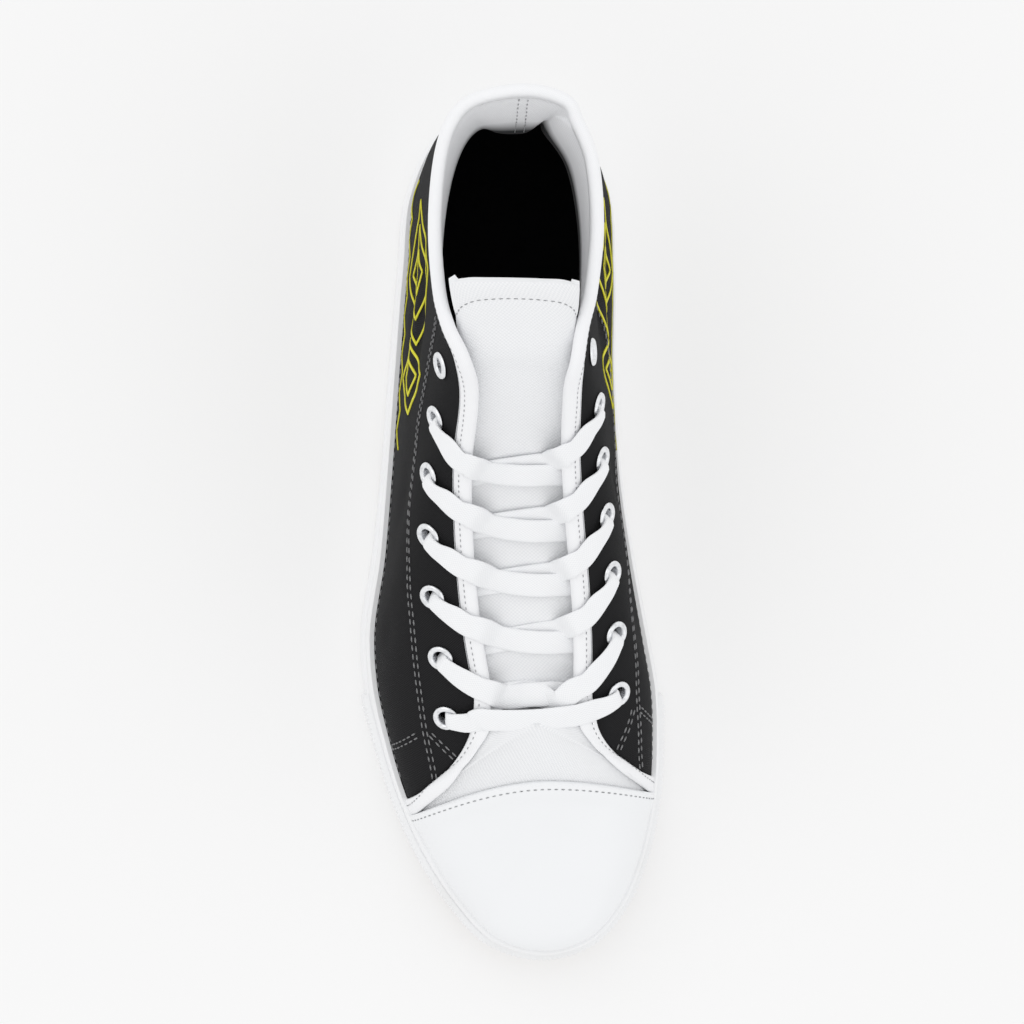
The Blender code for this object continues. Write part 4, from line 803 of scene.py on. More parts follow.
# Lining cloth with painted shade lower down, also used on the inner faces of the quarters
LINING_CLOTH_SHADED = cloth_finish("lining_cloth_painted_shade", (0.86, 0.865, 0.88), (0.78, 0.785, 0.80), FINE_PITCHES,
                            depth=0.00005, cloud=0.03, shade=lining_shade)
LACE_CLOTH = cloth_finish("lace_cloth", (0.93, 0.935, 0.945), (0.83, 0.84, 0.86), (0.0012, 0.0009),
                          depth=0.00006, cloud=0.02)
# Near black insole: painted shade standing in for the dark deep inside the shoe
INSOLE_PAINTED_SHADE = cloth_finish("insole_painted_shade", (0.010, 0.010, 0.012), (0.005, 0.005, 0.006), (0.0012, 0.0012))
FOXING_RUBBER = rubber_finish("foxing_rubber", (0.88, 0.885, 0.895), (0.78, 0.775, 0.76), 0.42)
BUMPER_RUBBER = rubber_finish("bumper_rubber", (0.87, 0.875, 0.885), (0.77, 0.765, 0.75), 0.48)
CAP_RUBBER = rubber_finish("cap_rubber", (0.86, 0.87, 0.885), (0.82, 0.83, 0.84), 0.36, grain=900.0)
TREAD_RUBBER = rubber_finish("tread_rubber", (0.46, 0.30, 0.16), (0.30, 0.22, 0.15), 0.62)
CORE_FOAM = rubber_finish("core_foam", (0.62, 0.60, 0.56), (0.50, 0.48, 0.45), 0.8)
EYELET_METAL = metal_finish("eyelet_metal", (0.86, 0.87, 0.89), 0.24)
GREY_THREAD = cloth_finish("grey_thread", (0.42, 0.42, 0.43), (0.32, 0.32, 0.33), THREAD_PITCHES)
WHITE_THREAD = cloth_finish("white_thread", (0.66, 0.67, 0.69), (0.56, 0.57, 0.59), THREAD_PITCHES)
YELLOW_INK = cloth_finish("yellow_ink", (0.78, 0.74, 0.025), (0.62, 0.58, 0.020), CANVAS_PITCHES,
                          ribbed=True, depth=0.00008, cloud=0.08, roughness=0.7)


# Quarters and vamp

WALL_FINENESS = 60
COLUMN_FINENESS = 9
QUARTER_SHARES = np.linspace(0.0, 1.0, WALL_FINENESS)
VAMP_SHARES = np.linspace(0.0, 1.0, 40)
HOLE_SEGMENTS = 20
HOLE_DEPTH = 0.02
VAMP_EVENING = 12
VAMP_SEAM = 0.00002


def fine_columns(first, last):
    return np.linspace(first, last, int(round((last - first) * COLUMN_FINENESS)) + 1)


def wall_grid(stations, shares):
    """Places of the wall's base surface, one row for each side and column, from its foot up."""
    rows = []
    for side, column in stations:
        foot = side_point(base_knot(side, column), UPPER_INSET, lambda along: seat_level(along) + GAP)
        rows.append(np.vstack([foot, wall_line(side, column, shares)]))
    return np.array(rows)


def make_quarters():
    """Black canvas from one front edge round the heel to the other, lined on the inside."""
    columns = fine_columns(0.0, float(CORNER))
    stations = [(LATERAL, column) for column in columns[::-1]] + [(MEDIAL, column) for column in columns[1:]]
    base = wall_grid(stations, QUARTER_SHARES)
    normals = grid_normals(base)
    shares = np.concatenate([[0.0], QUARTER_SHARES])
    depth = np.array([crease_depth(side, base[index], shares) for index, (side, _) in enumerate(stations)])
    places = base + normals * (QUARTER_STEP + depth)[:, :, None]
    mesh = laid_mesh("quarters", places, strip_lengths(base), normals)
    thing = piece("quarters", mesh, "canvas", [BLACK_CANVAS, LINING_CLOTH_SHADED], "upper")
    # The inner faces take the lining finish and its painted shade lower down
    thicken(thing, VAMP_WALL + QUARTER_STEP, inner=1)
    holes = bmesh.new()
    for side in SIDES:
        for column, t in EYELETS[side]:
            bmesh.ops.create_cone(holes, cap_ends=True, segments=HOLE_SEGMENTS, depth=HOLE_DEPTH,
                                  radius1=BARREL_RADIUS, radius2=BARREL_RADIUS,
                                  matrix=eyelet_matrix(side, column, t))
    cutter = bpy.data.objects.new("eyelet_holes", to_mesh("eyelet_holes", holes))
    bpy.context.scene.collection.objects.link(cutter)
    cut = thing.modifiers.new("eyelet_holes", "BOOLEAN")
    cut.operation = "DIFFERENCE"
    cut.solver = "EXACT"
    cut.object = cutter
    settle(thing)
    bpy.data.objects.remove(cutter, do_unlink=True)


def over_grid(columns, shares, offset):
    """Places over the front of the shoe, and normals: up the lateral column, down the medial one."""
    rows = []
    for column in columns:
        halves = []
        for side in SIDES:
            foot = side_point(base_knot(side, column), UPPER_INSET, lambda along: seat_level(along) + GAP)
            halves.append(np.vstack([foot, wall_line(side, column, shares)]))
        rows.append(np.vstack([halves[0], halves[1][-2::-1]]))
    base = np.array(rows)
    normals = -grid_normals(base)
    middle = base.shape[1] // 2
    if normals[0, middle, 2] < 0:
        normals = -normals
    return base + normals * offset[:, None, None], normals


def make_vamp():
    """White canvas over the front: two wings beside the throat and one piece from the ridge on."""
    meshes = []
    for side in SIDES:
        columns = fine_columns(float(CORNER), float(RIDGE))
        base = wall_grid([(side, column) for column in columns], VAMP_SHARES)
        normals = grid_normals(base) * (-1.0 if side == LATERAL else 1.0)
        meshes.append(laid_mesh("vamp_wing", base, strip_lengths(base), normals))
    columns = fine_columns(float(RIDGE), CAP + 1.0)
    places, normals = over_grid(columns, VAMP_SHARES, np.zeros(len(columns)))
    meshes.append(laid_mesh("vamp_front", places, strip_lengths(places), normals))
    mesh = weld(joined("vamp", meshes), distance=VAMP_SEAM, relax=VAMP_EVENING)
    thing = piece("vamp", mesh, "canvas", [WHITE_CANVAS], "upper")
    thicken(thing, VAMP_WALL)


# Toe cap: distances from its rear edge, and shares of the strip's height there

CAP_DEPTH = top_at(LATERAL, CAP + 1.0)[1] - top_at(LATERAL, float(CAP))[1]
CAP_PROFILE = [(0.0, 0.05), (0.0002, 0.75), (0.0006, 1.0), (0.0012, 1.05),
               (TOE_CAP_STRIP_WIDTH - 0.0026, 1.05), (TOE_CAP_STRIP_WIDTH - 0.0012, 0.97),
               (TOE_CAP_STRIP_WIDTH + 0.0004, 0.78), (TOE_CAP_STRIP_WIDTH + 0.0020, 0.70)]
CAP_STITCH_SETBACK = 0.0020
TIP_RADIUS = 0.016
TIP_LEVEL = 0.028
TIP_SEAM = 0.0003
TIP_EVENING = 30
CAP_STRIP_END = 0.06


def make_toe_cap():
    """Smooth rubber cap with a raised strip along its rear edge."""
    strip = TOE_CAP_THICKNESS + TOE_CAP_STRIP_RISE
    columns = []
    heights = []
    for distance, share in CAP_PROFILE:
        columns.append(CAP + distance / CAP_DEPTH)
        heights.append(GAP + share * strip)
    rest = fine_columns(columns[-1] + CAP_STRIP_END, float(TOE))
    columns = np.concatenate([columns, rest])
    heights = np.concatenate([heights, np.full(len(rest), GAP + TOE_CAP_THICKNESS)])
    places, normals = over_grid(columns, VAMP_SHARES, heights)
    tip = to_world(top_at(LATERAL, float(TOE)))

    def near_tip(place):
        return math.hypot(place[0] - tip[0], place[1] - tip[1]) < TIP_RADIUS and place[2] > TIP_LEVEL

    mesh = laid_mesh("toe_cap_shell", places, strip_lengths(places), normals)
    mesh = weld(mesh, distance=TIP_SEAM, relax=TIP_EVENING, within=near_tip)
    thing = piece("toe_cap_shell", mesh, "toe_rubber", [CAP_RUBBER], "toe_cap", sharp=50)
    thicken(thing, TOE_CAP_THICKNESS)


# Foxing and toe bumper: inset from the outline, level and distance above it

FOXING_PROFILE = [
    (0.0006, low_edge, 0.0), (0.0001, low_edge, 0.0006), (0.0, low_edge, 0.0014),
    (0.0, step_level, -0.0008), (0.0001, step_level, -0.0002), (FOXING_STEP, step_level, 0.0001),
    (FOXING_STEP, step_level, 0.0020), (FOXING_STEP + 0.0002, step_level, 0.0024),
    (FOXING_STEP + 0.0002, step_level, 0.0028), (FOXING_STEP, step_level, 0.0032),
    (FOXING_STEP, foxing_top, -0.0016), (FOXING_STEP + 0.0002, foxing_top, -0.0008),
    (FOXING_STEP + 0.0006, foxing_top, -0.0002), (FOXING_ROUND, foxing_top, 0.0),
    (FOXING_THICKNESS, foxing_top, 0.0), (FOXING_THICKNESS, low_edge, 0.0),
]
FOXING_SECTIONS = 420
RIB_PITCH = 0.0017
RIB_STEPS = 6
BUMPER_SUNK = 0.0004
BUMPER_FOOT = 0.0007
SEAM_LAP = 0.0001


def make_foxing():
    """Rubber band round the sole, with its step, a moulded line and a round upper edge."""
    sections = []
    for knot in np.linspace(0.0, TURN_KNOT, FOXING_SECTIONS, endpoint=False):
        sections.append([side_point(knot, inset, lambda along, level=level, rise=rise: level(along) + rise)
                         for inset, level, rise in FOXING_PROFILE])
    mesh = tube_mesh("foxing_band", np.array(sections), closed=True)
    piece("foxing_band", mesh, "sidewall", [FOXING_RUBBER], "foxing", sharp=40)


def make_toe_bumper():
    """Finely ribbed strip round the toe, on the foxing's lower face."""
    start = knot_at(LATERAL, BUMPER_START)
    end = knot_at(MEDIAL, BUMPER_START)
    ribs = int(round((end - start) / RIB_PITCH))
    face = -GAP - BUMPER_THICKNESS
    sections = []
    for step in range(ribs * RIB_STEPS + 1):
        knot = blend(start, end, step / (ribs * RIB_STEPS))
        ends = min(step, ribs * RIB_STEPS - step)
        rise = np.clip(ends / (0.5 * RIB_STEPS), 0.0, 1.0) ** 0.5
        wave = 0.5 - 0.5 * math.cos(2 * math.pi * step / RIB_STEPS)
        rib = wave * BUMPER_RIB_DEPTH if ends > 2 * RIB_STEPS else 0

        def low(along):
            return low_edge(along) + BUMPER_BOTTOM_MARGIN

        def high(along):
            return step_level(along) + SEAM_LAP

        out = (face + GAP) * rise - GAP
        sections.append([
            side_point(knot, BUMPER_SUNK, low),
            side_point(knot, out, low),
            side_point(knot, out - rib * rise, lambda along: low(along) + BUMPER_FOOT),
            side_point(knot, out - rib * rise, lambda along: blend(low(along), high(along), 0.5)),
            side_point(knot, out - rib * rise, lambda along: high(along) - BUMPER_THICKNESS),
            side_point(knot, out * 0.6, lambda along: high(along) - 0.3 * BUMPER_THICKNESS),
            side_point(knot, BUMPER_SUNK, high),
        ])
    mesh = tube_mesh("ribbed_toe_strip", np.array(sections))
    piece("ribbed_toe_strip", mesh, "sidewall", [BUMPER_RUBBER], "toe_bumper", sharp=45)


# Binding

ROLLED_SECTION = [(0.00, 0.30), (0.10, 0.62), (0.34, 0.95), (0.64, 1.00), (0.92, 0.45), (1.00, -0.30),
                  (0.86, -0.82), (0.50, -1.00), (0.05, -0.90)]
STRIP_SECTION = [(0.00, 0.05), (0.03, 0.75), (0.30, 1.00), (0.64, 1.00), (0.93, 0.72), (1.00, 0.20),
                 (0.92, 0.00), (0.55, 0.00), (0.20, 0.00)]
SECTION_POINTS = 22
STRIP_TUCK = 0.0012
STRIP_FOOT_SHARE = 0.75
STRIP_FOOT_WIDTH = 0.0125
STRIP_WIDTH = 0.0064
BINDING_STEP = 0.08
BINDING_TURN = 0.12
STRIP_SECTIONS = 36
STRIP_END_DROP = 0.004
BINDING_EVENING = 2


def edge_frame(side, column):
    """Place on the opening's edge, its outward normal and the direction away from the quarter."""
    place = top_at(side, column)
    step = 0.05
    tangent = unit(top_at(side, min(column + step, CORNER)) - top_at(side, max(column - step, 0.0)))
    if column < step:
        tangent = np.array([-1.0 if side == LATERAL else 1.0, 0.0, 0.0])
    turn = max(0.0, column - (CORNER - 1))
    normal = (1 - turn) * wall_normal(side, float(min(column, CORNER - 1)), 1.0)
    if turn > 0.0:
        normal = normal + turn * wall_normal(side, float(CORNER), 1.0)
    normal = unit(normal - tangent * np.dot(normal, tangent))
    away = np.cross(tangent, normal) if side == LATERAL else np.cross(normal, tangent)
    return place, normal, away


@lru_cache(maxsize=None)
def vamp_reach(side, t):
    """Distances ahead of the quarter's front edge, with the column at each."""
    columns = np.linspace(CORNER, CAP, 4 * (CAP - CORNER) + 1)
    return chord_knots([wall(side, column, t) for column in columns]), columns


def vamp_place(side, t, distance):
    """Point of the vamp a distance ahead of the quarter's front edge, with its normal."""
    column = float(np.interp(distance, *vamp_reach(side, t)))
    return wall(side, column, t), wall_normal(side, column, t)


def edge_section(side, column):
    """Section of the binding at a column: raised near the throat's corner, rolled further back."""
    place, normal, away = edge_frame(side, column)
    distance = np.linalg.norm(top_at(side, column) - top_at(side, CORNER))
    flatness = float(np.clip(1.0 - distance / BINDING_TURN_LENGTH, 0.0, 1.0))
    flatness = flatness * flatness * (3 - 2 * flatness)
    section = []
    for rolled, raised in zip(ROLLED_SECTION, STRIP_SECTION):
        depth = BINDING_OUTSIDE if rolled[1] > 0 else BINDING_INSIDE
        across = blend(rolled[0], raised[0], flatness)
        up = blend(rolled[1] * depth, STRIP_GAP + raised[1] * BINDING_STRIP_THICKNESS, flatness)
        section.append(place + away * (GAP + across * BINDING_WIDTH) + normal * up)
    return np.array(section)


def flat_section(side, t):
    """Section of the strip lying on the vamp, as wide as the toe cap leaves room for."""
    room = np.linalg.norm(wall(side, float(CAP), t) - wall(side, float(CORNER), t))
    width = min(room + STRIP_TUCK, blend(STRIP_FOOT_WIDTH, STRIP_WIDTH, min(1.0, t / STRIP_FOOT_SHARE)))
    section = []
    for across, up in STRIP_SECTION:
        place, normal = vamp_place(side, t, GAP + across * width)
        section.append(place + normal * (STRIP_GAP + up * BINDING_STRIP_THICKNESS))
    return np.array(section)


def binding_half(side):
    """Sections from the foxing over the vamp, up the throat and round to the back."""
    shares = np.linspace(0.0, 1.0, STRIP_SECTIONS)[:-1]
    sections = [flat_section(side, float(t)) for t in shares]
    sections = [sections[0] - np.array([0.0, 0.0, STRIP_END_DROP])] + sections
    columns = np.arange(CORNER - BINDING_TURN, -0.001, -BINDING_STEP)
    return sections + [edge_section(side, float(column)) for column in columns]


def make_binding():
    """Padded edge of the quarters, flat on the vamp and rolled further up; returns its two halves."""
    lateral = binding_half(LATERAL)
    medial = binding_half(MEDIAL)
    sections = np.array(lateral + medial[-2::-1])
    for _ in range(BINDING_EVENING):
        sections[1:-1] = 0.25 * sections[:-2] + 0.5 * sections[1:-1] + 0.25 * sections[2:]
    rounded = np.array([round_section(section, SECTION_POINTS) for section in sections])
    mesh = tube_mesh("padded_binding", rounded)
    piece("padded_binding", mesh, "binding", [BINDING_CLOTH], "binding")
    return lateral, medial


# Tongue

TONGUE_COLUMNS = 41
TONGUE_ROWS = 130
TONGUE_HEM = 0.0065
TONGUE_SHIFT = 0.0004
TONGUE_REACH = 1.45 * TONGUE_RISE
TONGUE_DIP = 0.0070
TONGUE_SCOOP = 0.0035
TONGUE_WIDENING = 0.04
TONGUE_STEPS = (1.0, 0.65, 0.3)
WAVE_DEPTH = 0.00035
WAVE_LENGTH = 0.019
HEM_HEIGHT = 0.00035
HEM_GROOVE = 0.00025
HEM_GROOVE_WIDTH = 0.0006
TONGUE_EDGE_ROUND = 0.0008


@lru_cache(maxsize=None)
def tongue_line(column):
    """Curve across the tongue's face under the edges of the throat, its slope and its outward way."""
    under = VAMP_WALL + BINDING_INSIDE
    line = []
    for side in SIDES:
        top = top_at(side, column)
        normal = wall_normal(side, column, 1.0)
        height = np.linalg.norm(top - wall(side, column, 0.8)) / 0.2
        t_low = 1.0 - TONGUE_UNDERLAP / height
        low = wall(side, column, t_low) - wall_normal(side, column, t_low) * under
        pair = [low, top - normal * under]
        line.append(pair if side == LATERAL else pair[::-1])
    lateral, medial = line
    span = np.linalg.norm(medial[0] - lateral[1])
    leaving = unit(lateral[1] - lateral[0]) * span * TONGUE_CROWN
    arriving = unit(medial[1] - medial[0]) * span * TONGUE_CROWN
    rows = [lateral[0]]
    for share in np.linspace(0.0, 1.0, 7):
        rows.append((2 * share ** 3 - 3 * share ** 2 + 1) * lateral[1]
                    + (share ** 3 - 2 * share ** 2 + share) * leaving
                    + (3 * share ** 2 - 2 * share ** 3) * medial[0] + (share ** 3 - share ** 2) * arriving)
    rows.append(medial[1])
    slope = unit(top_at(LATERAL, column + 0.2) + top_at(MEDIAL, column + 0.2)
                 - top_at(LATERAL, column - 0.2) - top_at(MEDIAL, column - 0.2))
    lift = unit(np.cross(medial[0] - lateral[1], slope))
    lift = lift if lift[2] > 0 else -lift
    knots = chord_knots(rows)
    return smooth_curve(knots / knots[-1], rows), slope, lift


def tongue_grid():
    """Face of the tongue from its top hem down to its tuck under the vamp."""
    shares = np.linspace(0.0, 1.0, TONGUE_COLUMNS)
    corner_line, slope, _ = tongue_line(COLLAR_CORNER + 0.3)
    first = np.array([corner_line(share) for share in shares])
    centre = first[TONGUE_COLUMNS // 2]
    grid = []
    for step in TONGUE_STEPS:
        spread = np.abs(2 * shares - 1)[:, None]
        dip = ((1 - spread ** 4) * TONGUE_DIP + (1 - spread ** 2) * TONGUE_SCOOP) * step ** 3
        width = 1.0 + TONGUE_WIDENING * (1.0 - step) + TONGUE_FLARE * step ** 3
        row = first - slope * TONGUE_REACH * step + slope * dip
        row[:, 0] += TONGUE_SHIFT
        row[:, 0] = centre[0] + (row[:, 0] - centre[0]) * width
        grid.append(row)
    grid.append(first)
    for column in np.arange(COLLAR_CORNER + 0.75, CORNER - 0.2, 0.5):
        line = tongue_line(float(column))[0]
        grid.append([line(share) for share in shares])
    line, slope, _ = tongue_line(float(CORNER))
    last = np.array([line(share) for share in shares])
    grid.append(last)
    middle = last[TONGUE_COLUMNS // 2]
    grid.append(middle + slope * TONGUE_TUCK + (last - middle) * TONGUE_FOOT)
    grid = np.array(grid)
    knots = chord_knots(grid[:, TONGUE_COLUMNS // 2])
    curve = smooth_curve(knots, grid.reshape(len(grid), -1))
    fine = np.linspace(0.0, knots[-1], TONGUE_ROWS)
    return np.array([curve(knot).reshape(-1, 3) for knot in fine]), fine


def make_tongue():
    """Woven tongue, softly waved, with a hem along its top; returns its face."""
    grid, reach = tongue_grid()
    normals = grid_normals(grid)
    if normals[len(grid) // 2, TONGUE_COLUMNS // 2, 2] < 0:
        normals = -normals
    across = np.linspace(-1.0, 1.0, TONGUE_COLUMNS)[None, :]
    down = reach[:, None]
    waves = np.sin(down / WAVE_LENGTH + 1.4 * across) * np.cos(across * 2.1) * np.clip(down / 0.02, 0, 1)
    hem = HEM_HEIGHT * np.exp(-((down - 0.5 * TONGUE_HEM) / (0.42 * TONGUE_HEM)) ** 4)
    seam = -HEM_GROOVE * np.exp(-((down - TONGUE_HEM) / HEM_GROOVE_WIDTH) ** 2)
    places = grid + normals * (WAVE_DEPTH * waves + hem + seam)[:, :, None]
    mesh = laid_mesh("woven_tongue", places, strip_lengths(places), normals)
    thing = piece("woven_tongue", mesh, "tongue", [TONGUE_CLOTH], "tongue")
    thicken(thing, TONGUE_THICKNESS)
    round_edge = thing.modifiers.new("round_edge", "BEVEL")
    round_edge.width = TONGUE_EDGE_ROUND
    round_edge.segments = 3
    round_edge.limit_method = "ANGLE"
    return places, normals, reach


# Eyelets

def edge_points(side):
    """Places close together along the quarter's edge, from the foxing to the back."""
    front = [wall(side, float(CORNER), share) for share in np.linspace(0.0, 1.0, 2 * FINENESS)]
    return np.array(front + [top_at(side, column) for column in np.linspace(CORNER, 0, 8 * FINENESS)])


EDGE_POINTS = {side: edge_points(side) for side in SIDES}


def down_from_edge(side, column, distance):
    """Share t of the place on a column that lies a distance from the quarter's edge."""
    shares = np.linspace(1.0, 0.5, FINENESS)
    places = wall_line(side, column, shares)
    reach = np.linalg.norm(EDGE_POINTS[side][None] - places[:, None], axis=2).min(axis=1)
    return float(np.interp(distance, reach, shares))


def eyelet_places(side):
    """Column and t of each eyelet, evenly spread along a line beside the edge of the throat."""
    first, last = EYELET_STATIONS[side]
    columns = np.linspace(CORNER - 0.4, COLLAR_CORNER - 1.0, 4 * FINENESS)
    shares = [down_from_edge(side, column, EYELET_SETBACK) for column in columns]
    places = np.array([wall(side, column, share) for column, share in zip(columns, shares)])
    reach = chord_knots(places)
    stations = places[:, 1] / SOLE_LENGTH
    low = np.interp(first, stations[::-1], reach[::-1])
    high = np.interp(last, stations[::-1], reach[::-1])
    found = []
    for distance in np.linspace(low, high, EYELET_COUNT):
        column = float(np.interp(distance, reach, columns))
        found.append((column, down_from_edge(side, column, EYELET_SETBACK)))
    return found


EYELETS = {side: eyelet_places(side) for side in SIDES}
EYELET_DEPTH = VAMP_WALL + QUARTER_STEP + 2 * GAP
BARREL_RADIUS = EYELET_HOLE_RADIUS + EYELET_BARREL_WALL
FLANGE_LIP = 0.0002
FLANGE_SUNK = 0.0001
EYELET_TURNS = 36


def eyelet_matrix(side, column, t):
    """World matrix at an eyelet, its Z axis out of the quarter and its origin on the quarter's face."""
    normal = wall_normal(side, column, t)
    place = Vector(to_world(wall(side, column, t) + normal * (QUARTER_STEP + GAP)))
    turn = Vector((0, 0, 1)).rotation_difference(Vector(normal * MIRROR_ALONG))
    return Matrix.Translation(place) @ turn.to_matrix().to_4x4()


def make_eyelets():
    """Rolled metal eyelets, each turned from one profile."""
    hole = EYELET_HOLE_RADIUS
    crest = EYELET_FLANGE_HEIGHT
    rolled = 0.5 * (EYELET_FLANGE_RADIUS - hole)
    profile = []
    for angle in np.linspace(math.radians(200), math.radians(-20), 12):
        profile.append((hole + rolled + rolled * math.cos(angle), max(0.05 * crest, crest * math.sin(angle))))
    profile += [(EYELET_FLANGE_RADIUS - FLANGE_LIP, -FLANGE_SUNK), (BARREL_RADIUS, -FLANGE_SUNK),
                (BARREL_RADIUS, -EYELET_DEPTH), (hole + FLANGE_SUNK, -EYELET_DEPTH)]
    for side in SIDES:
        for number, (column, t) in enumerate(EYELETS[side], 1):
            work = bmesh.new()
            corners = [work.verts.new((radius, 0.0, up)) for radius, up in profile]
            for first, second in zip(corners, corners[1:] + corners[:1]):
                work.edges.new((first, second))
            bmesh.ops.spin(work, geom=work.verts[:] + work.edges[:], cent=(0, 0, 0), axis=(0, 0, 1),
                           angle=2 * math.pi, steps=EYELET_TURNS, use_merge=True)
            bmesh.ops.remove_doubles(work, verts=work.verts, dist=0.000001)
            bmesh.ops.recalc_face_normals(work, faces=work.faces)
            work.transform(eyelet_matrix(side, column, t))
            name = f"ring_{side}_{number}"
            node = f"eyelet_{side}_{number}"
            piece(name, to_mesh(name, work), "eyelet", [EYELET_METAL], node, sharp=50)


# Lace: one lace from the lateral sixth eyelet down to the bar and up to the medial sixth one

LACED_ROWS = EYELET_COUNT - 1
LACE_NARROW = 0.0044
LACE_BUNCHED = 0.0017
LACE_REST = 0.5 * LACE_THICKNESS + GAP
LACE_STEP = 0.0010
LACE_RING = 16
# Rows below its eyelet at which a strand crosses the binding's outer and inner edge and slips under
# the far binding, for the highest and the lowest strand
Drops = namedtuple("Drops", "outer inner far")
HIGH_DROPS = {LATERAL: Drops(0.38, 0.48, 0.90), MEDIAL: Drops(0.40, 0.52, 0.74)}
LOW_DROPS = {LATERAL: Drops(0.34, 0.46, 0.90), MEDIAL: Drops(0.50, 0.60, 0.82)}
# How far the way from one binding to the other is done at the places where it rests on the tongue
TONGUE_WAY = {LATERAL: (0.62, 1.05, 1.20), MEDIAL: (0.28, 0.54, 0.79)}
TONGUE_RESTS = (0.33, 0.50, 0.67)
FAR_EDGE_SHARE = 0.82
VAMP_CLEARANCE = 0.0014
BAR_DROPS = {LATERAL: (0.08, 0.11), MEDIAL: (0.22, 0.32)}
FLAP_SHARE = 0.72
FLAP_LIFT = 0.0004
BAR_LIFT = 0.0004
BAR_BOW = 0.0008
CROSSING_GAP = 0.0003
UNDER_FLAP_SHARE = 0.90
UNDER_FLAP_SETBACK = 0.002
UNDER_FLAP_GAP = 0.0018
PLEAT_DEPTH = 0.00022

Stop = namedtuple("Stop", "place up width thickness")


def edge_column(side, eyelet):
    """Column at which the quarter's edge is nearest to an eyelet."""
    columns = np.linspace(CORNER, COLLAR_CORNER - 1.0, 8 * FINENESS)
    distances = [np.linalg.norm(top_at(side, column) - wall(side, *eyelet)) for column in columns]
    return float(columns[int(np.argmin(distances))])


ROW_COLUMNS = {side: [edge_column(side, eyelet) for eyelet in EYELETS[side]] for side in SIDES}


def row_column(side, row):
    """Column at a place in the rows of eyelets, 1 being the lowest pair."""
    known = ROW_COLUMNS[side]
    below = min(2 * known[0] - known[1], CORNER - 0.05)
    return float(np.interp(row, range(EYELET_COUNT + 1), [below] + known))


def flap_stop(side, number, edge, lift):
    """Stop on the quarter's face part of the way from an eyelet to a column's end at the edge."""
    column, t = EYELETS[side][number - 1]
    column = blend(column, edge, FLAP_SHARE)
    place, normal = canvas_point(side, column, blend(t, 1.0, FLAP_SHARE), LACE_REST + lift)
    return Stop(place, normal, blend(LACE_NARROW, LACE_WIDTH, 0.85), LACE_THICKNESS)


def binding_stops(side, outer_row, inner_row, lift):
    """Stops over the padded binding: its crest and its inner edge."""
    stops = []
    for row, across, up, lean in ((blend(outer_row, inner_row, 0.4), 0.45, 1.05, 0.0),
                                  (blend(outer_row, inner_row, 0.9), 0.95, 0.80, 0.35)):
        place, normal, away = edge_frame(side, row_column(side, row))
        out = unit(normal + away * lean)
        rest = place + away * (GAP + across * BINDING_WIDTH) + normal * up * BINDING_OUTSIDE
        stops.append(Stop(rest + out * (LACE_REST + lift), out, LACE_WIDTH, LACE_THICKNESS))
    return stops


TONGUE_TABLE = np.linspace(COLLAR_CORNER + 0.4, CORNER, 28)


def tongue_stop(along, share, lift):
    """Stop on the tongue's face at a distance along the shoe and a share of its width."""
    places = [tongue_line(float(column))[0](share)[1] for column in TONGUE_TABLE]
    column = float(np.interp(along, places, TONGUE_TABLE))
    line, _, up = tongue_line(column)
    spread = 0.6 * (share - 0.5)
    out = unit(up + spread * unit(line(1.0) - line(0.0)))
    return Stop(line(share) + out * (LACE_REST + lift), out, LACE_WIDTH, LACE_THICKNESS)


def hole_stop(side, number, depth, up):
    """Stop in the middle of an eyelet, at a height over the quarter's face."""
    column, t = EYELETS[side][number - 1]
    normal = wall_normal(side, column, t)
    return Stop(wall(side, column, t) + normal * (QUARTER_STEP + depth), up, LACE_NARROW, LACE_BUNCHED)


def leaving_stops(side, number, toward):
    """Stops from inside an eyelet up and over its ring towards a place on the flap."""
    column, t = EYELETS[side][number - 1]
    normal = wall_normal(side, column, t)
    centre = wall(side, column, t) + normal * QUARTER_STEP
    way = toward - centre
    way = unit(way - normal * np.dot(way, normal))
    over = EYELET_FLANGE_HEIGHT + 0.5 * LACE_BUNCHED
    return [
        hole_stop(side, number, -EYELET_DEPTH - 0.001, -way),
        Stop(centre + way * 0.0003 - normal * 0.0004, -way, LACE_NARROW, LACE_BUNCHED),
        Stop(centre + way * 0.0016 + normal * over, normal - way, blend(LACE_NARROW, LACE_WIDTH, 0.3),
             LACE_BUNCHED),
        Stop(centre + way * 0.0042 + normal * over, normal, blend(LACE_NARROW, LACE_WIDTH, 0.5),
             blend(LACE_BUNCHED, LACE_THICKNESS, 0.5)),
    ]


def strand_drops(side, number):
    share = (LACED_ROWS - number) / (LACED_ROWS - 2)
    return Drops(*blend(np.array(HIGH_DROPS[side]), np.array(LOW_DROPS[side]), share))


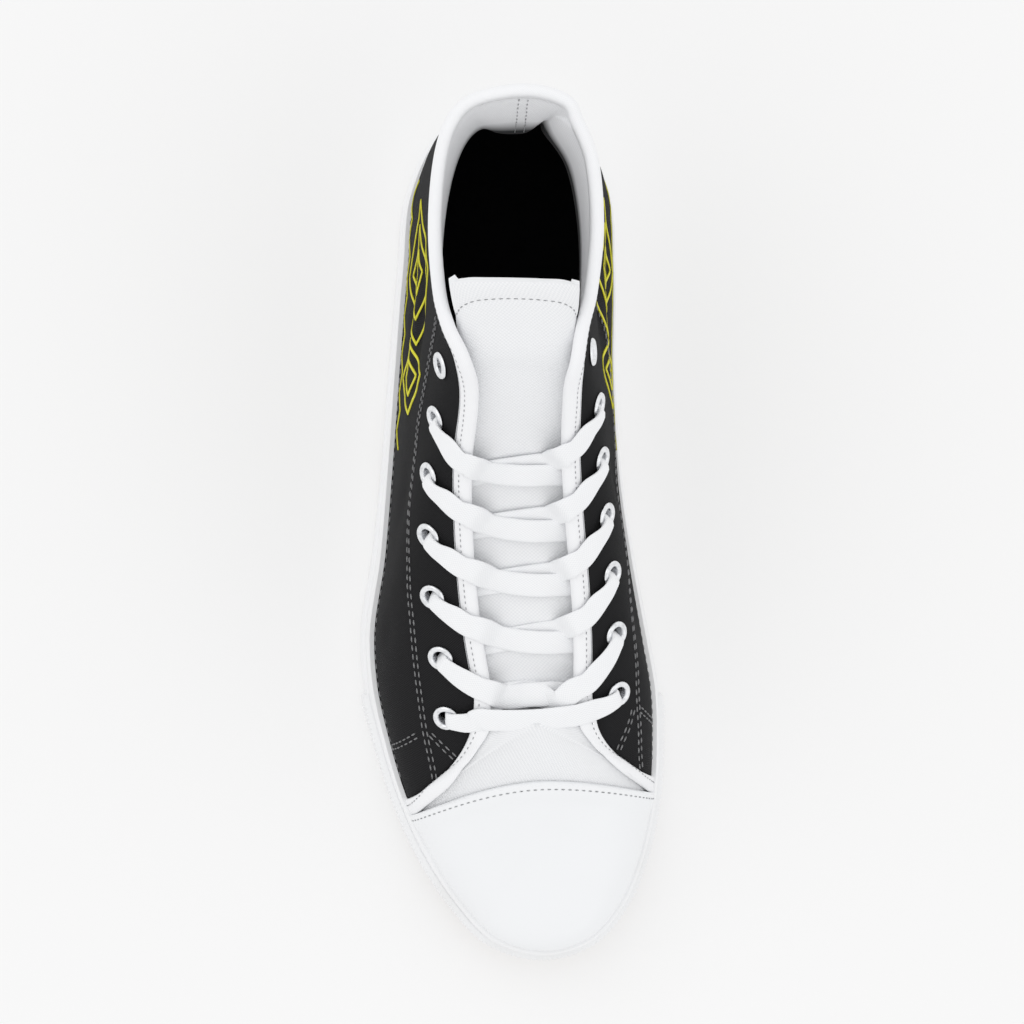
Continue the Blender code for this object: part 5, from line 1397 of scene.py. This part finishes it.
def strand(side, number):
    """Stops of one strand from its eyelet over the flap and the tongue, under the other flap."""
    far = MEDIAL if side == LATERAL else LATERAL
    drops = strand_drops(side, number)
    above = LACE_THICKNESS + CROSSING_GAP if side == LATERAL else 0.0
    clear = VAMP_WALL + VAMP_CLEARANCE if number == 2 else 0.0
    edge = row_column(side, number - drops.outer)
    flap = flap_stop(side, number, edge, FLAP_LIFT)
    stops = leaving_stops(side, number, flap.place) + [flap]
    stops += binding_stops(side, number - drops.outer, number - drops.inner, 0.0)
    start = stops[-1].place[1]
    place, _, away = edge_frame(far, row_column(far, number - drops.far))
    end = (place + away * BINDING_WIDTH)[1]
    for way, rest in zip(TONGUE_WAY[side], TONGUE_RESTS):
        share = rest if side == LATERAL else 1 - rest
        raised = above if rest == 0.50 else 0.5 * above
        stops.append(tongue_stop(blend(start, end, way), share, raised + clear))
    share = FAR_EDGE_SHARE if side == LATERAL else 1 - FAR_EDGE_SHARE
    stops.append(tongue_stop(end, share, clear))
    column, t = EYELETS[far][number - 2]
    normal = wall_normal(far, column, t)
    base = wall(far, column, t)
    share = UNDER_FLAP_SHARE if side == LATERAL else 1 - UNDER_FLAP_SHARE
    stops.append(tongue_stop(blend(end, base[1] - UNDER_FLAP_SETBACK, 0.6), share, 0.0))
    way = stops[-1].place - base
    way = unit(way - normal * np.dot(way, normal))
    below = base + way * 0.0022 - normal * (VAMP_WALL + UNDER_FLAP_GAP)
    stops.append(Stop(below, normal + way, LACE_NARROW * 1.3, LACE_THICKNESS))
    return stops


def bar():
    """Stops of the bar between the lowest eyelets, over both flaps."""
    halves = []
    for side in SIDES:
        outer_drop, inner_drop = BAR_DROPS[side]
        edge = row_column(side, 1 - outer_drop)
        flap = flap_stop(side, 1, edge, FLAP_LIFT + 0.0002)
        stops = leaving_stops(side, 1, flap.place) + [flap]
        stops += binding_stops(side, 1 - outer_drop, 1 - inner_drop, BAR_LIFT)
        halves.append(stops)
    first = halves[0][-1]
    last = halves[1][-1]
    middle = []
    for share in (0.25, 0.5, 0.75):
        flat = blend(first.place, last.place, share)
        flat[1] += BAR_BOW * math.sin(math.pi * share)
        crown = tongue_stop(flat[1], share, 0.0).place[2]
        flat[2] = max(flat[2], crown + 2.2 * LACE_THICKNESS)
        middle.append(Stop(flat, unit(first.up + last.up), LACE_WIDTH, LACE_THICKNESS))
    return halves[0] + middle + halves[1][::-1]


def strands_down(side):
    """Stops of every second strand from the sixth eyelet of a side down to the second pair."""
    stops = []
    for number in range(LACED_ROWS, 1, -1):
        stops += strand(side, number)
        side = MEDIAL if side == LATERAL else LATERAL
    return stops


def lace_stops():
    """The whole lace, stop by stop, from the lateral sixth eyelet to the medial sixth one."""
    return strands_down(LATERAL) + bar() + strands_down(MEDIAL)[::-1]


def lace_sections(stops):
    """Rings of places along the lace: flat and crowned, bunched where it goes through an eyelet."""
    places = np.array([stop.place for stop in stops])
    knots = chord_knots(places)
    tangents = np.gradient(places, knots, axis=0)
    across = []
    for tangent, stop in zip(tangents, stops):
        way = unit(np.cross(unit(tangent), unit(stop.up)))
        if across and np.dot(way, across[-1]) < 0:
            way = -way
        across.append(way)
    sizes = np.array([(stop.width, stop.thickness) for stop in stops])
    curve = smooth_curve(knots, np.hstack([places, np.array(across), sizes]))
    count = int(knots[-1] / LACE_STEP)
    samples = np.array([curve(knot) for knot in np.linspace(0.0, knots[-1], count)])
    centres = samples[:, :3]
    ways = np.gradient(centres, axis=0)
    ways /= np.linalg.norm(ways, axis=1, keepdims=True)
    sideways = samples[:, 3:6] - ways * np.sum(samples[:, 3:6] * ways, axis=1, keepdims=True)
    sideways /= np.linalg.norm(sideways, axis=1, keepdims=True)
    outs = np.cross(ways, sideways)
    angles = np.linspace(0.0, 2 * math.pi, LACE_RING, endpoint=False)
    flat_across = np.sign(np.cos(angles)) * np.abs(np.cos(angles)) ** 0.7
    flat_up = np.sign(np.sin(angles)) * np.abs(np.sin(angles)) ** 0.75
    bunch = np.clip(1 - (samples[:, 6] - LACE_NARROW) / (LACE_WIDTH - LACE_NARROW), 0, 1)
    pleats = PLEAT_DEPTH * bunch[:, None] * np.cos(3 * math.pi * flat_across)[None, :]
    rings = centres[:, None] + sideways[:, None] * (0.5 * samples[:, 6, None] * flat_across)[:, :, None]
    rings = rings + outs[:, None] * (0.5 * samples[:, 7, None] * flat_up + pleats)[:, :, None]
    return rings, float(np.sum(np.linalg.norm(np.diff(centres, axis=0), axis=1)))


def make_lace():
    """One flat woven lace through the six lower pairs of eyelets."""
    sections, length = lace_sections(lace_stops())
    mesh = tube_mesh("flat_lace", sections)
    nodes = ["lace_bar_1"] + [f"lace_cross_{number}" for number in range(2, LACED_ROWS + 1)]
    piece("flat_lace", mesh, "lace", [LACE_CLOTH], *nodes)
    print(f"lace length {length:.3f} m")


# Finding a place on the quarter from a side view

FIND_COLUMNS = np.linspace(0.0, CORNER, 8 * CORNER + 1)
FIND_SHARES = np.linspace(0.0, 1.0, 61)
SIDE_VIEWS = {side: np.array([wall_line(side, column, FIND_SHARES)[:, 1:] for column in FIND_COLUMNS])
              for side in SIDES}


def find_place(side, target):
    """Column and share of the place on the wall that is nearest to an along and an up."""
    plane = SIDE_VIEWS[side]
    offsets = np.linalg.norm(plane - np.asarray(target, float), axis=2)
    row, column = np.unravel_index(int(np.argmin(offsets)), offsets.shape)
    row = int(np.clip(row, 1, len(FIND_COLUMNS) - 2))
    column = int(np.clip(column, 1, len(FIND_SHARES) - 2))
    slope = np.stack([0.5 * (plane[row + 1, column] - plane[row - 1, column]),
                      0.5 * (plane[row, column + 1] - plane[row, column - 1])], axis=1)
    steps = np.clip(np.linalg.lstsq(slope, np.asarray(target) - plane[row, column], rcond=None)[0], -1, 1)
    return (float(np.interp(row + steps[0], range(len(FIND_COLUMNS)), FIND_COLUMNS)),
            float(np.interp(column + steps[1], range(len(FIND_SHARES)), FIND_SHARES)))


def stitched_line(side, knots):
    """Places on the quarter along a smooth line through columns and shares."""
    columns = [knot[0] for knot in knots]
    if columns[-1] - columns[0] > 0.5:
        share_at = smooth_curve(columns, [knot[1] for knot in knots])
        fine = np.linspace(columns[0], columns[-1], STITCH_SPOTS)
        return surface_line(side, [(float(column), float(share_at(column)[0])) for column in fine])
    steps = np.linspace(0.0, 1.0, STITCH_SPOTS // 2)
    return surface_line(side, [blend(np.array(knots[0]), np.array(knots[1]), step) for step in steps])


def surface_line(side, spots, lift=0.0):
    """Smooth run of canvas places through columns and shares."""
    rows = []
    for column, t in spots:
        place, normal = canvas_point(side, round(column, 3), round(t, 3), lift)
        rows.append(np.concatenate([place, normal]))
    return np.array(rows)


# Stitches

STITCH_PITCH = 0.0031
STITCH_SPOTS = 60
STITCH_LENGTH = 0.0023
STITCH_WIDTH = 0.0006
DOUBLE_SPACING = 0.0016
FINE_PITCH = 0.0021
FINE_LENGTH = 0.0012
FINE_WIDTH = 0.0004
FINE_HEIGHT = 0.0003
CAP_PITCH = 0.0023
CAP_LENGTH = 0.0014
HEM_LENGTH = 0.0015
CAP_WIDTH = 0.0005


def sew(rows, line, pitch, length, width, shift=0.0, height=0.0006):
    """Adds a row of small round stitches along a line of places with directions out."""
    line = np.asarray(line)
    knots = chord_knots(line[:, :3])
    tangents = np.gradient(line[:, :3], knots, axis=0)
    for knot in np.arange(0.5 * pitch, knots[-1], pitch):
        place = np.array([np.interp(knot, knots, line[:, axis]) for axis in range(3)])
        out = unit(np.array([np.interp(knot, knots, line[:, axis]) for axis in range(3, 6)]))
        way = np.array([np.interp(knot, knots, tangents[:, axis]) for axis in range(3)])
        way = unit(way - out * np.dot(way, out))
        across = np.cross(out, way)
        centre = to_world(place + across * shift + out * 0.15 * height)
        axes = np.array([way * 0.5 * length, across * 0.5 * width, out * 0.5 * height]) * MIRROR_ALONG
        rows.append((centre, axes))


def stitched_piece(name, rows, slot_name, material):
    """One mesh with a round stitch at each place of the rows."""
    work = bmesh.new()
    bmesh.ops.create_uvsphere(work, u_segments=6, v_segments=5, radius=1.0)
    ball = to_mesh("stitch", work)
    corners = np.array([corner.co[:] for corner in ball.vertices])
    faces = [tuple(face.vertices) for face in ball.polygons]
    places = np.concatenate([centre + corners @ axes for centre, axes in rows])
    turned = [tuple(index * len(corners) + corner for corner in reversed(face))
              for index in range(len(rows)) for face in faces]
    mesh = bpy.data.meshes.new(name)
    mesh.from_pydata(places.tolist(), [], turned)
    mesh.uv_layers.new(name="cloth")
    piece(name, mesh, slot_name, [material])


def section_line(sections, across_share):
    """Line over the binding's sections, between two corners of the upper face."""
    places = np.array([blend(section[2], section[3], across_share) for section in sections])
    across = np.array([unit(section[3] - section[2]) for section in sections])
    ways = np.gradient(places, axis=0)
    outs = np.cross(ways, across)
    outs /= np.linalg.norm(outs, axis=1, keepdims=True)
    flip = np.sign(np.sum(outs * np.array([0.0, 0.0, 1.0]), axis=1, keepdims=True) + 1e-9)
    return np.hstack([places, outs * flip])


def make_stitches(binding_halves, tongue):
    """Grey double rows on the quarters and fine rows on the binding, the cap and the tongue's hem."""
    grey = []
    for side in SIDES:
        for knots in [EYESTAY_STITCHES[side]] + CORNER_STITCHES[side]:
            line = stitched_line(side, knots)
            for shift in (-0.5 * DOUBLE_SPACING, 0.5 * DOUBLE_SPACING):
                sew(grey, line, STITCH_PITCH, STITCH_LENGTH, STITCH_WIDTH, shift)
    back = surface_line(LATERAL, [(0.0, t) for t in np.linspace(0.04, 0.97, 24)])
    for shift in (-0.0065, -0.005, 0.005, 0.0065):
        sew(grey, back, STITCH_PITCH, STITCH_LENGTH, STITCH_WIDTH, shift, height=0.0008)
    for side in SIDES:
        foot = surface_line(side, [(column, 0.05) for column in np.linspace(0.4, CORNER - 0.3, 80)])
        sew(grey, foot, STITCH_PITCH, STITCH_LENGTH, STITCH_WIDTH)
    stitched_piece("grey_stitches", grey, "canvas", GREY_THREAD)
    fine = []
    for sections in binding_halves:
        sew(fine, section_line(sections, 0.02), FINE_PITCH, FINE_LENGTH, FINE_WIDTH, height=FINE_HEIGHT)
    strip = []
    column = CAP + CAP_STITCH_SETBACK / CAP_DEPTH
    height = GAP + 1.05 * (TOE_CAP_THICKNESS + TOE_CAP_STRIP_RISE)
    shares = np.linspace(0.02, 0.98, 26)
    for side, climb in ((LATERAL, shares), (MEDIAL, shares[::-1])):
        for t in climb:
            normal = wall_normal(side, round(column, 4), round(float(t), 4))
            strip.append(np.concatenate([wall(side, column, float(t)) + normal * height, normal]))
    sew(fine, strip, CAP_PITCH, CAP_LENGTH, CAP_WIDTH, height=FINE_HEIGHT)
    places, normals, reach = tongue
    row = int(np.argmin(np.abs(reach - TONGUE_HEM)))
    hem = np.hstack([places[row], normals[row]])
    sew(fine, hem, CAP_PITCH, HEM_LENGTH, CAP_WIDTH, height=FINE_HEIGHT)
    stitched_piece("white_stitches", fine, "binding", WHITE_THREAD)


# Line design on the quarters: two groups of diamonds inside each other and a zigzag below them

DESIGN_WIDTH = 0.0012
DESIGN_THICKNESS = 0.00025
DESIGN_STEP = 0.0015
DESIGN_LIFT = 0.00005
DESIGN_SUNK = 0.0002
Diamond = namedtuple("Diamond", "along up wide tall")
DIAMONDS = {
    LATERAL: [Diamond(0.062, 0.088, 0.046, 0.056), Diamond(0.062, 0.088, 0.030, 0.036),
              Diamond(0.062, 0.088, 0.014, 0.016), Diamond(0.095, 0.078, 0.024, 0.040),
              Diamond(0.095, 0.078, 0.012, 0.020)],
    MEDIAL: [Diamond(0.060, 0.086, 0.044, 0.058), Diamond(0.060, 0.086, 0.028, 0.038),
             Diamond(0.060, 0.086, 0.013, 0.017), Diamond(0.093, 0.080, 0.024, 0.042),
             Diamond(0.093, 0.080, 0.012, 0.021)],
}
ZIGZAG_START = 0.030
ZIGZAG_END = 0.118
ZIGZAG_LOW = 0.044
ZIGZAG_HIGH = 0.054
ZIGZAG_TEETH = 7


def drawn_line(side, corners):
    """Flat ribbon on the canvas along straight runs between corners, along and up."""
    knots = chord_knots(corners)
    steps = sorted(set(np.round(np.concatenate([knots, np.arange(0.0, knots[-1], DESIGN_STEP)]), 6)))
    spots = np.array([np.interp(steps, knots, [corner[axis] for corner in corners]) for axis in (0, 1)]).T
    line = surface_line(side, [find_place(side, spot) for spot in spots], DESIGN_LIFT)
    places = line[:, :3]
    outs = line[:, 3:]
    ways = np.gradient(places, axis=0)
    if np.allclose(corners[0], corners[-1]):
        ways[0] = places[1] - places[-2]
        ways[-1] = ways[0]
    across = np.cross(outs, ways)
    across /= np.linalg.norm(across, axis=1, keepdims=True)
    half = 0.5 * DESIGN_WIDTH
    top = DESIGN_THICKNESS
    ring = [(-half, 0.0), (-0.92 * half, top), (0.92 * half, top), (half, 0.0), (0.0, -DESIGN_SUNK)]
    lines = np.array([places + across * side_step + outs * up for side_step, up in ring])
    return tube_mesh("design_line", lines.transpose(1, 0, 2))


def make_design():
    """Yellow outlines of diamonds and a zigzag on both sides of the shoe."""
    meshes = []
    for side in SIDES:
        for shape in DIAMONDS[side]:
            half_wide = 0.5 * shape.wide
            half_tall = 0.5 * shape.tall
            corners = [(shape.along - half_wide, shape.up), (shape.along, shape.up + half_tall),
                       (shape.along + half_wide, shape.up), (shape.along, shape.up - half_tall),
                       (shape.along - half_wide, shape.up)]
            meshes.append(drawn_line(side, corners))
        stations = np.linspace(ZIGZAG_START, ZIGZAG_END, 2 * ZIGZAG_TEETH + 1)
        heights = [ZIGZAG_LOW if index % 2 else ZIGZAG_HIGH for index in range(len(stations))]
        meshes.append(drawn_line(side, list(zip(stations, heights))))
    piece("side_design", joined("side_design", meshes), "canvas", [YELLOW_INK], sharp=40)


# Heel strip: a band of the same canvas up the middle of the back

HEEL_STRIP_HALF = 0.0078
HEEL_STRIP_TOP = 0.985
HEEL_STRIP_RISE = 0.0007
HEEL_STRIP_EDGE = 0.0002
HEEL_STRIP_WALL = 0.0006


def make_heel_strip():
    """Raised band of black canvas over the back seam."""
    shares = np.linspace(0.0, HEEL_STRIP_TOP, 40)
    offsets = np.concatenate([[-1.0], np.linspace(-0.96, 0.96, 17), [1.0]]) * HEEL_STRIP_HALF
    columns = np.linspace(0.0, 1.5, 13)
    rows = []
    for t in shares:
        reach = {}
        for side in SIDES:
            places = np.array([canvas_point(side, float(column), float(t))[0] for column in columns])
            reach[side] = chord_knots(places)
        line = []
        for offset in offsets:
            side = LATERAL if offset < 0 else MEDIAL
            column = float(np.interp(abs(offset), reach[side], columns))
            rise = HEEL_STRIP_EDGE if abs(offset) >= HEEL_STRIP_HALF else HEEL_STRIP_RISE
            line.append(canvas_point(side, column, float(t), rise)[0])
        rows.append(line)
    grid = np.array(rows)
    normals = grid_normals(grid)
    if normals[20, 9, 1] > 0:
        normals = -normals
    mesh = laid_mesh("heel_strip", grid, strip_lengths(grid), normals)
    thing = piece("heel_strip", mesh, "canvas", [BLACK_CANVAS])
    thicken(thing, HEEL_STRIP_WALL)


# Padded lining of the heel collar, with its seam and the overlap on the medial side

LINING_END = 5.4
LINING_DEPTH = 0.025
LINING_START = 0.0020
LINING_BULGE = 0.0088
OVERLAP_LIFT = 0.0009
OVERLAP_EDGE = 1.9
LINING_EVENING = 30
LINING_TUCK = 0.0015
OVERLAP_END = LINING_END - 0.2
OVERLAP_CURVE = 0.55
OVERLAP_SLOPE = 0.15
SEAM_SHIFT = 0.0014
SEAM_OUT = [0.0, 1.0, 0.3]


def lining_place(side, column, share, lift=0.0):
    """Place on the padded lining, share 0 under the binding and 1 at its lower end, which is painted dark as
    shade.
    """
    place, normal, away = edge_frame(side, column)
    fullness = math.cos(0.5 * math.pi * min(1.0, column / LINING_END)) ** 1.5
    bulge = LINING_BULGE * fullness * math.sin(0.5 * math.pi * min(1.0, share / 0.85))
    return place - normal * (LINING_START + bulge + lift) - away * (share * LINING_DEPTH - LINING_TUCK)


def overlap_place(column, share):
    """Place on the overlap of the lining, whose edge is a curve on the medial side."""
    edge = OVERLAP_EDGE - OVERLAP_CURVE * math.sin(math.pi * min(1.0, share / 0.7))
    moved = blend(edge, OVERLAP_END, (column - OVERLAP_EDGE) / (OVERLAP_END - OVERLAP_EDGE))
    rise = math.sqrt(min(1.0, (column - OVERLAP_EDGE) / OVERLAP_SLOPE))
    return lining_place(MEDIAL, moved, share, OVERLAP_LIFT * rise)


def make_collar_lining():
    """White padded lining round the heel, fading into painted shade further down into the shoe."""
    shares = np.linspace(1.0, 0.0, 22)
    columns = np.linspace(0.0, LINING_END, 60)
    stations = [(LATERAL, column) for column in columns[::-1]] + [(MEDIAL, column) for column in columns[1:]]
    grid = np.array([[lining_place(side, column, share) for share in shares] for side, column in stations])
    for _ in range(LINING_EVENING):
        grid[1:-1, :-2] = 0.5 * grid[1:-1, :-2] + 0.25 * (grid[:-2, :-2] + grid[2:, :-2])
    centre = grid[len(columns) - 1][::-1]
    inward = -np.array([[edge_frame(side, column)[1]] * len(shares) for side, column in stations])
    meshes = [laid_mesh("collar_lining", grid, strip_lengths(grid), inward)]
    columns = np.linspace(OVERLAP_EDGE, OVERLAP_END, 40)
    grid = np.array([[overlap_place(column, share) for share in shares] for column in columns])
    inward = -np.array([[edge_frame(MEDIAL, column)[1]] * len(shares) for column in columns])
    meshes.append(laid_mesh("lining_overlap", grid, strip_lengths(grid), inward))
    piece("collar_lining", joined("collar_lining", meshes), "canvas", [LINING_CLOTH_SHADED])
    seam = []
    line = np.array([np.concatenate([place, SEAM_OUT]) for place in centre[1:18]])
    for shift in (-SEAM_SHIFT, SEAM_SHIFT):
        sew(seam, line, 0.0019, 0.0016, FINE_WIDTH, shift, height=0.0004)
    stitched_piece("lining_stitches", seam, "canvas", WHITE_THREAD)


def dress_solids():
    """Finishes of the solids that show as they are; the insole is near black as painted shade of the deep
    inside.
    """
    for name, material in (("outsole", TREAD_RUBBER), ("midsole", CORE_FOAM), ("insole", INSOLE_PAINTED_SHADE)):
        node = NODES[name]
        node.data.materials.clear()
        node.data.materials.append(material)


# Floor, light and camera

FLOOR_GLOW = 0.47
ROOM_LIGHT = 0.96
PANELS = [("key_panel", (-0.9, 0.7, 1.5), 1.4, 3.0), ("fill_panel", (1.0, -0.6, 1.4), 1.6, 1.5)]
FLOOR_TONES = ((0.46, 0.46, 0.46), (0.455, 0.455, 0.455))


def make_stage():
    """Pale floor, soft room light and two large panels."""
    material, shader = new_finish("pale_floor", 0.9, gloss=0.0)
    tone = colour_mix(material, object_noise(material, 3.0), *FLOOR_TONES)
    link(material, tone, shader.inputs["Base Color"])
    shader.inputs["Emission Color"].default_value = (1.0, 1.0, 1.0, 1.0)
    shader.inputs["Emission Strength"].default_value = FLOOR_GLOW
    work = bmesh.new()
    bmesh.ops.create_grid(work, x_segments=4, y_segments=4, size=4.0)
    mesh = to_mesh("floor", work)
    mesh.materials.append(material)
    floor = bpy.data.objects.new("floor", mesh)
    bpy.context.scene.collection.objects.link(floor)
    world = bpy.data.worlds.new("soft_room")
    world.use_nodes = True
    sky = world.node_tree.nodes["Background"]
    sky.inputs["Color"].default_value = (1.0, 1.0, 1.0, 1.0)
    sky.inputs["Strength"].default_value = ROOM_LIGHT
    bpy.context.scene.world = world
    for name, place, size, power in PANELS:
        lamp = bpy.data.lights.new(name, "AREA")
        lamp.shape = "SQUARE"
        lamp.size = size
        lamp.energy = power
        thing = bpy.data.objects.new(name, lamp)
        thing.location = place
        thing.rotation_mode = "QUATERNION"
        thing.rotation_quaternion = Vector(place).to_track_quat("Z", "Y")
        bpy.context.scene.collection.objects.link(thing)
    bpy.context.scene.view_settings.view_transform = "Standard"


def camera_axes():
    """Where the camera aims, and its directions back, right and up."""
    back = np.array([-math.sin(CAMERA_TILT), 0.0, math.cos(CAMERA_TILT)])
    right = np.array([math.cos(CAMERA_TILT), 0.0, math.sin(CAMERA_TILT)])
    return to_world(CAMERA_AIM), back, right, np.array([0.0, 1.0, 0.0])


def make_camera():
    """The photograph's camera: nearly straight down, a little off the upright."""
    aim, back, right, up = camera_axes()
    data = bpy.data.cameras.new("photo_camera")
    data.sensor_width = SENSOR
    data.lens = PHOTO_FOCAL / IMAGE_SIZE * SENSOR
    data.clip_start = 0.05
    data.clip_end = 20.0
    camera = bpy.data.objects.new("photo_camera", data)
    turn = Matrix([list(right), list(up), list(back)]).transposed().to_4x4()
    camera.matrix_world = Matrix.Translation(Vector(aim + back * CAMERA_DISTANCE)) @ turn
    bpy.context.scene.collection.objects.link(camera)
    bpy.context.scene.camera = camera


make_camera()
make_stage()
make_quarters()
make_vamp()
make_toe_cap()
make_foxing()
make_toe_bumper()
binding_halves = make_binding()
tongue_face = make_tongue()
make_eyelets()
make_lace()
make_stitches(binding_halves, tongue_face)
make_design()
make_heel_strip()
make_collar_lining()
dress_solids()
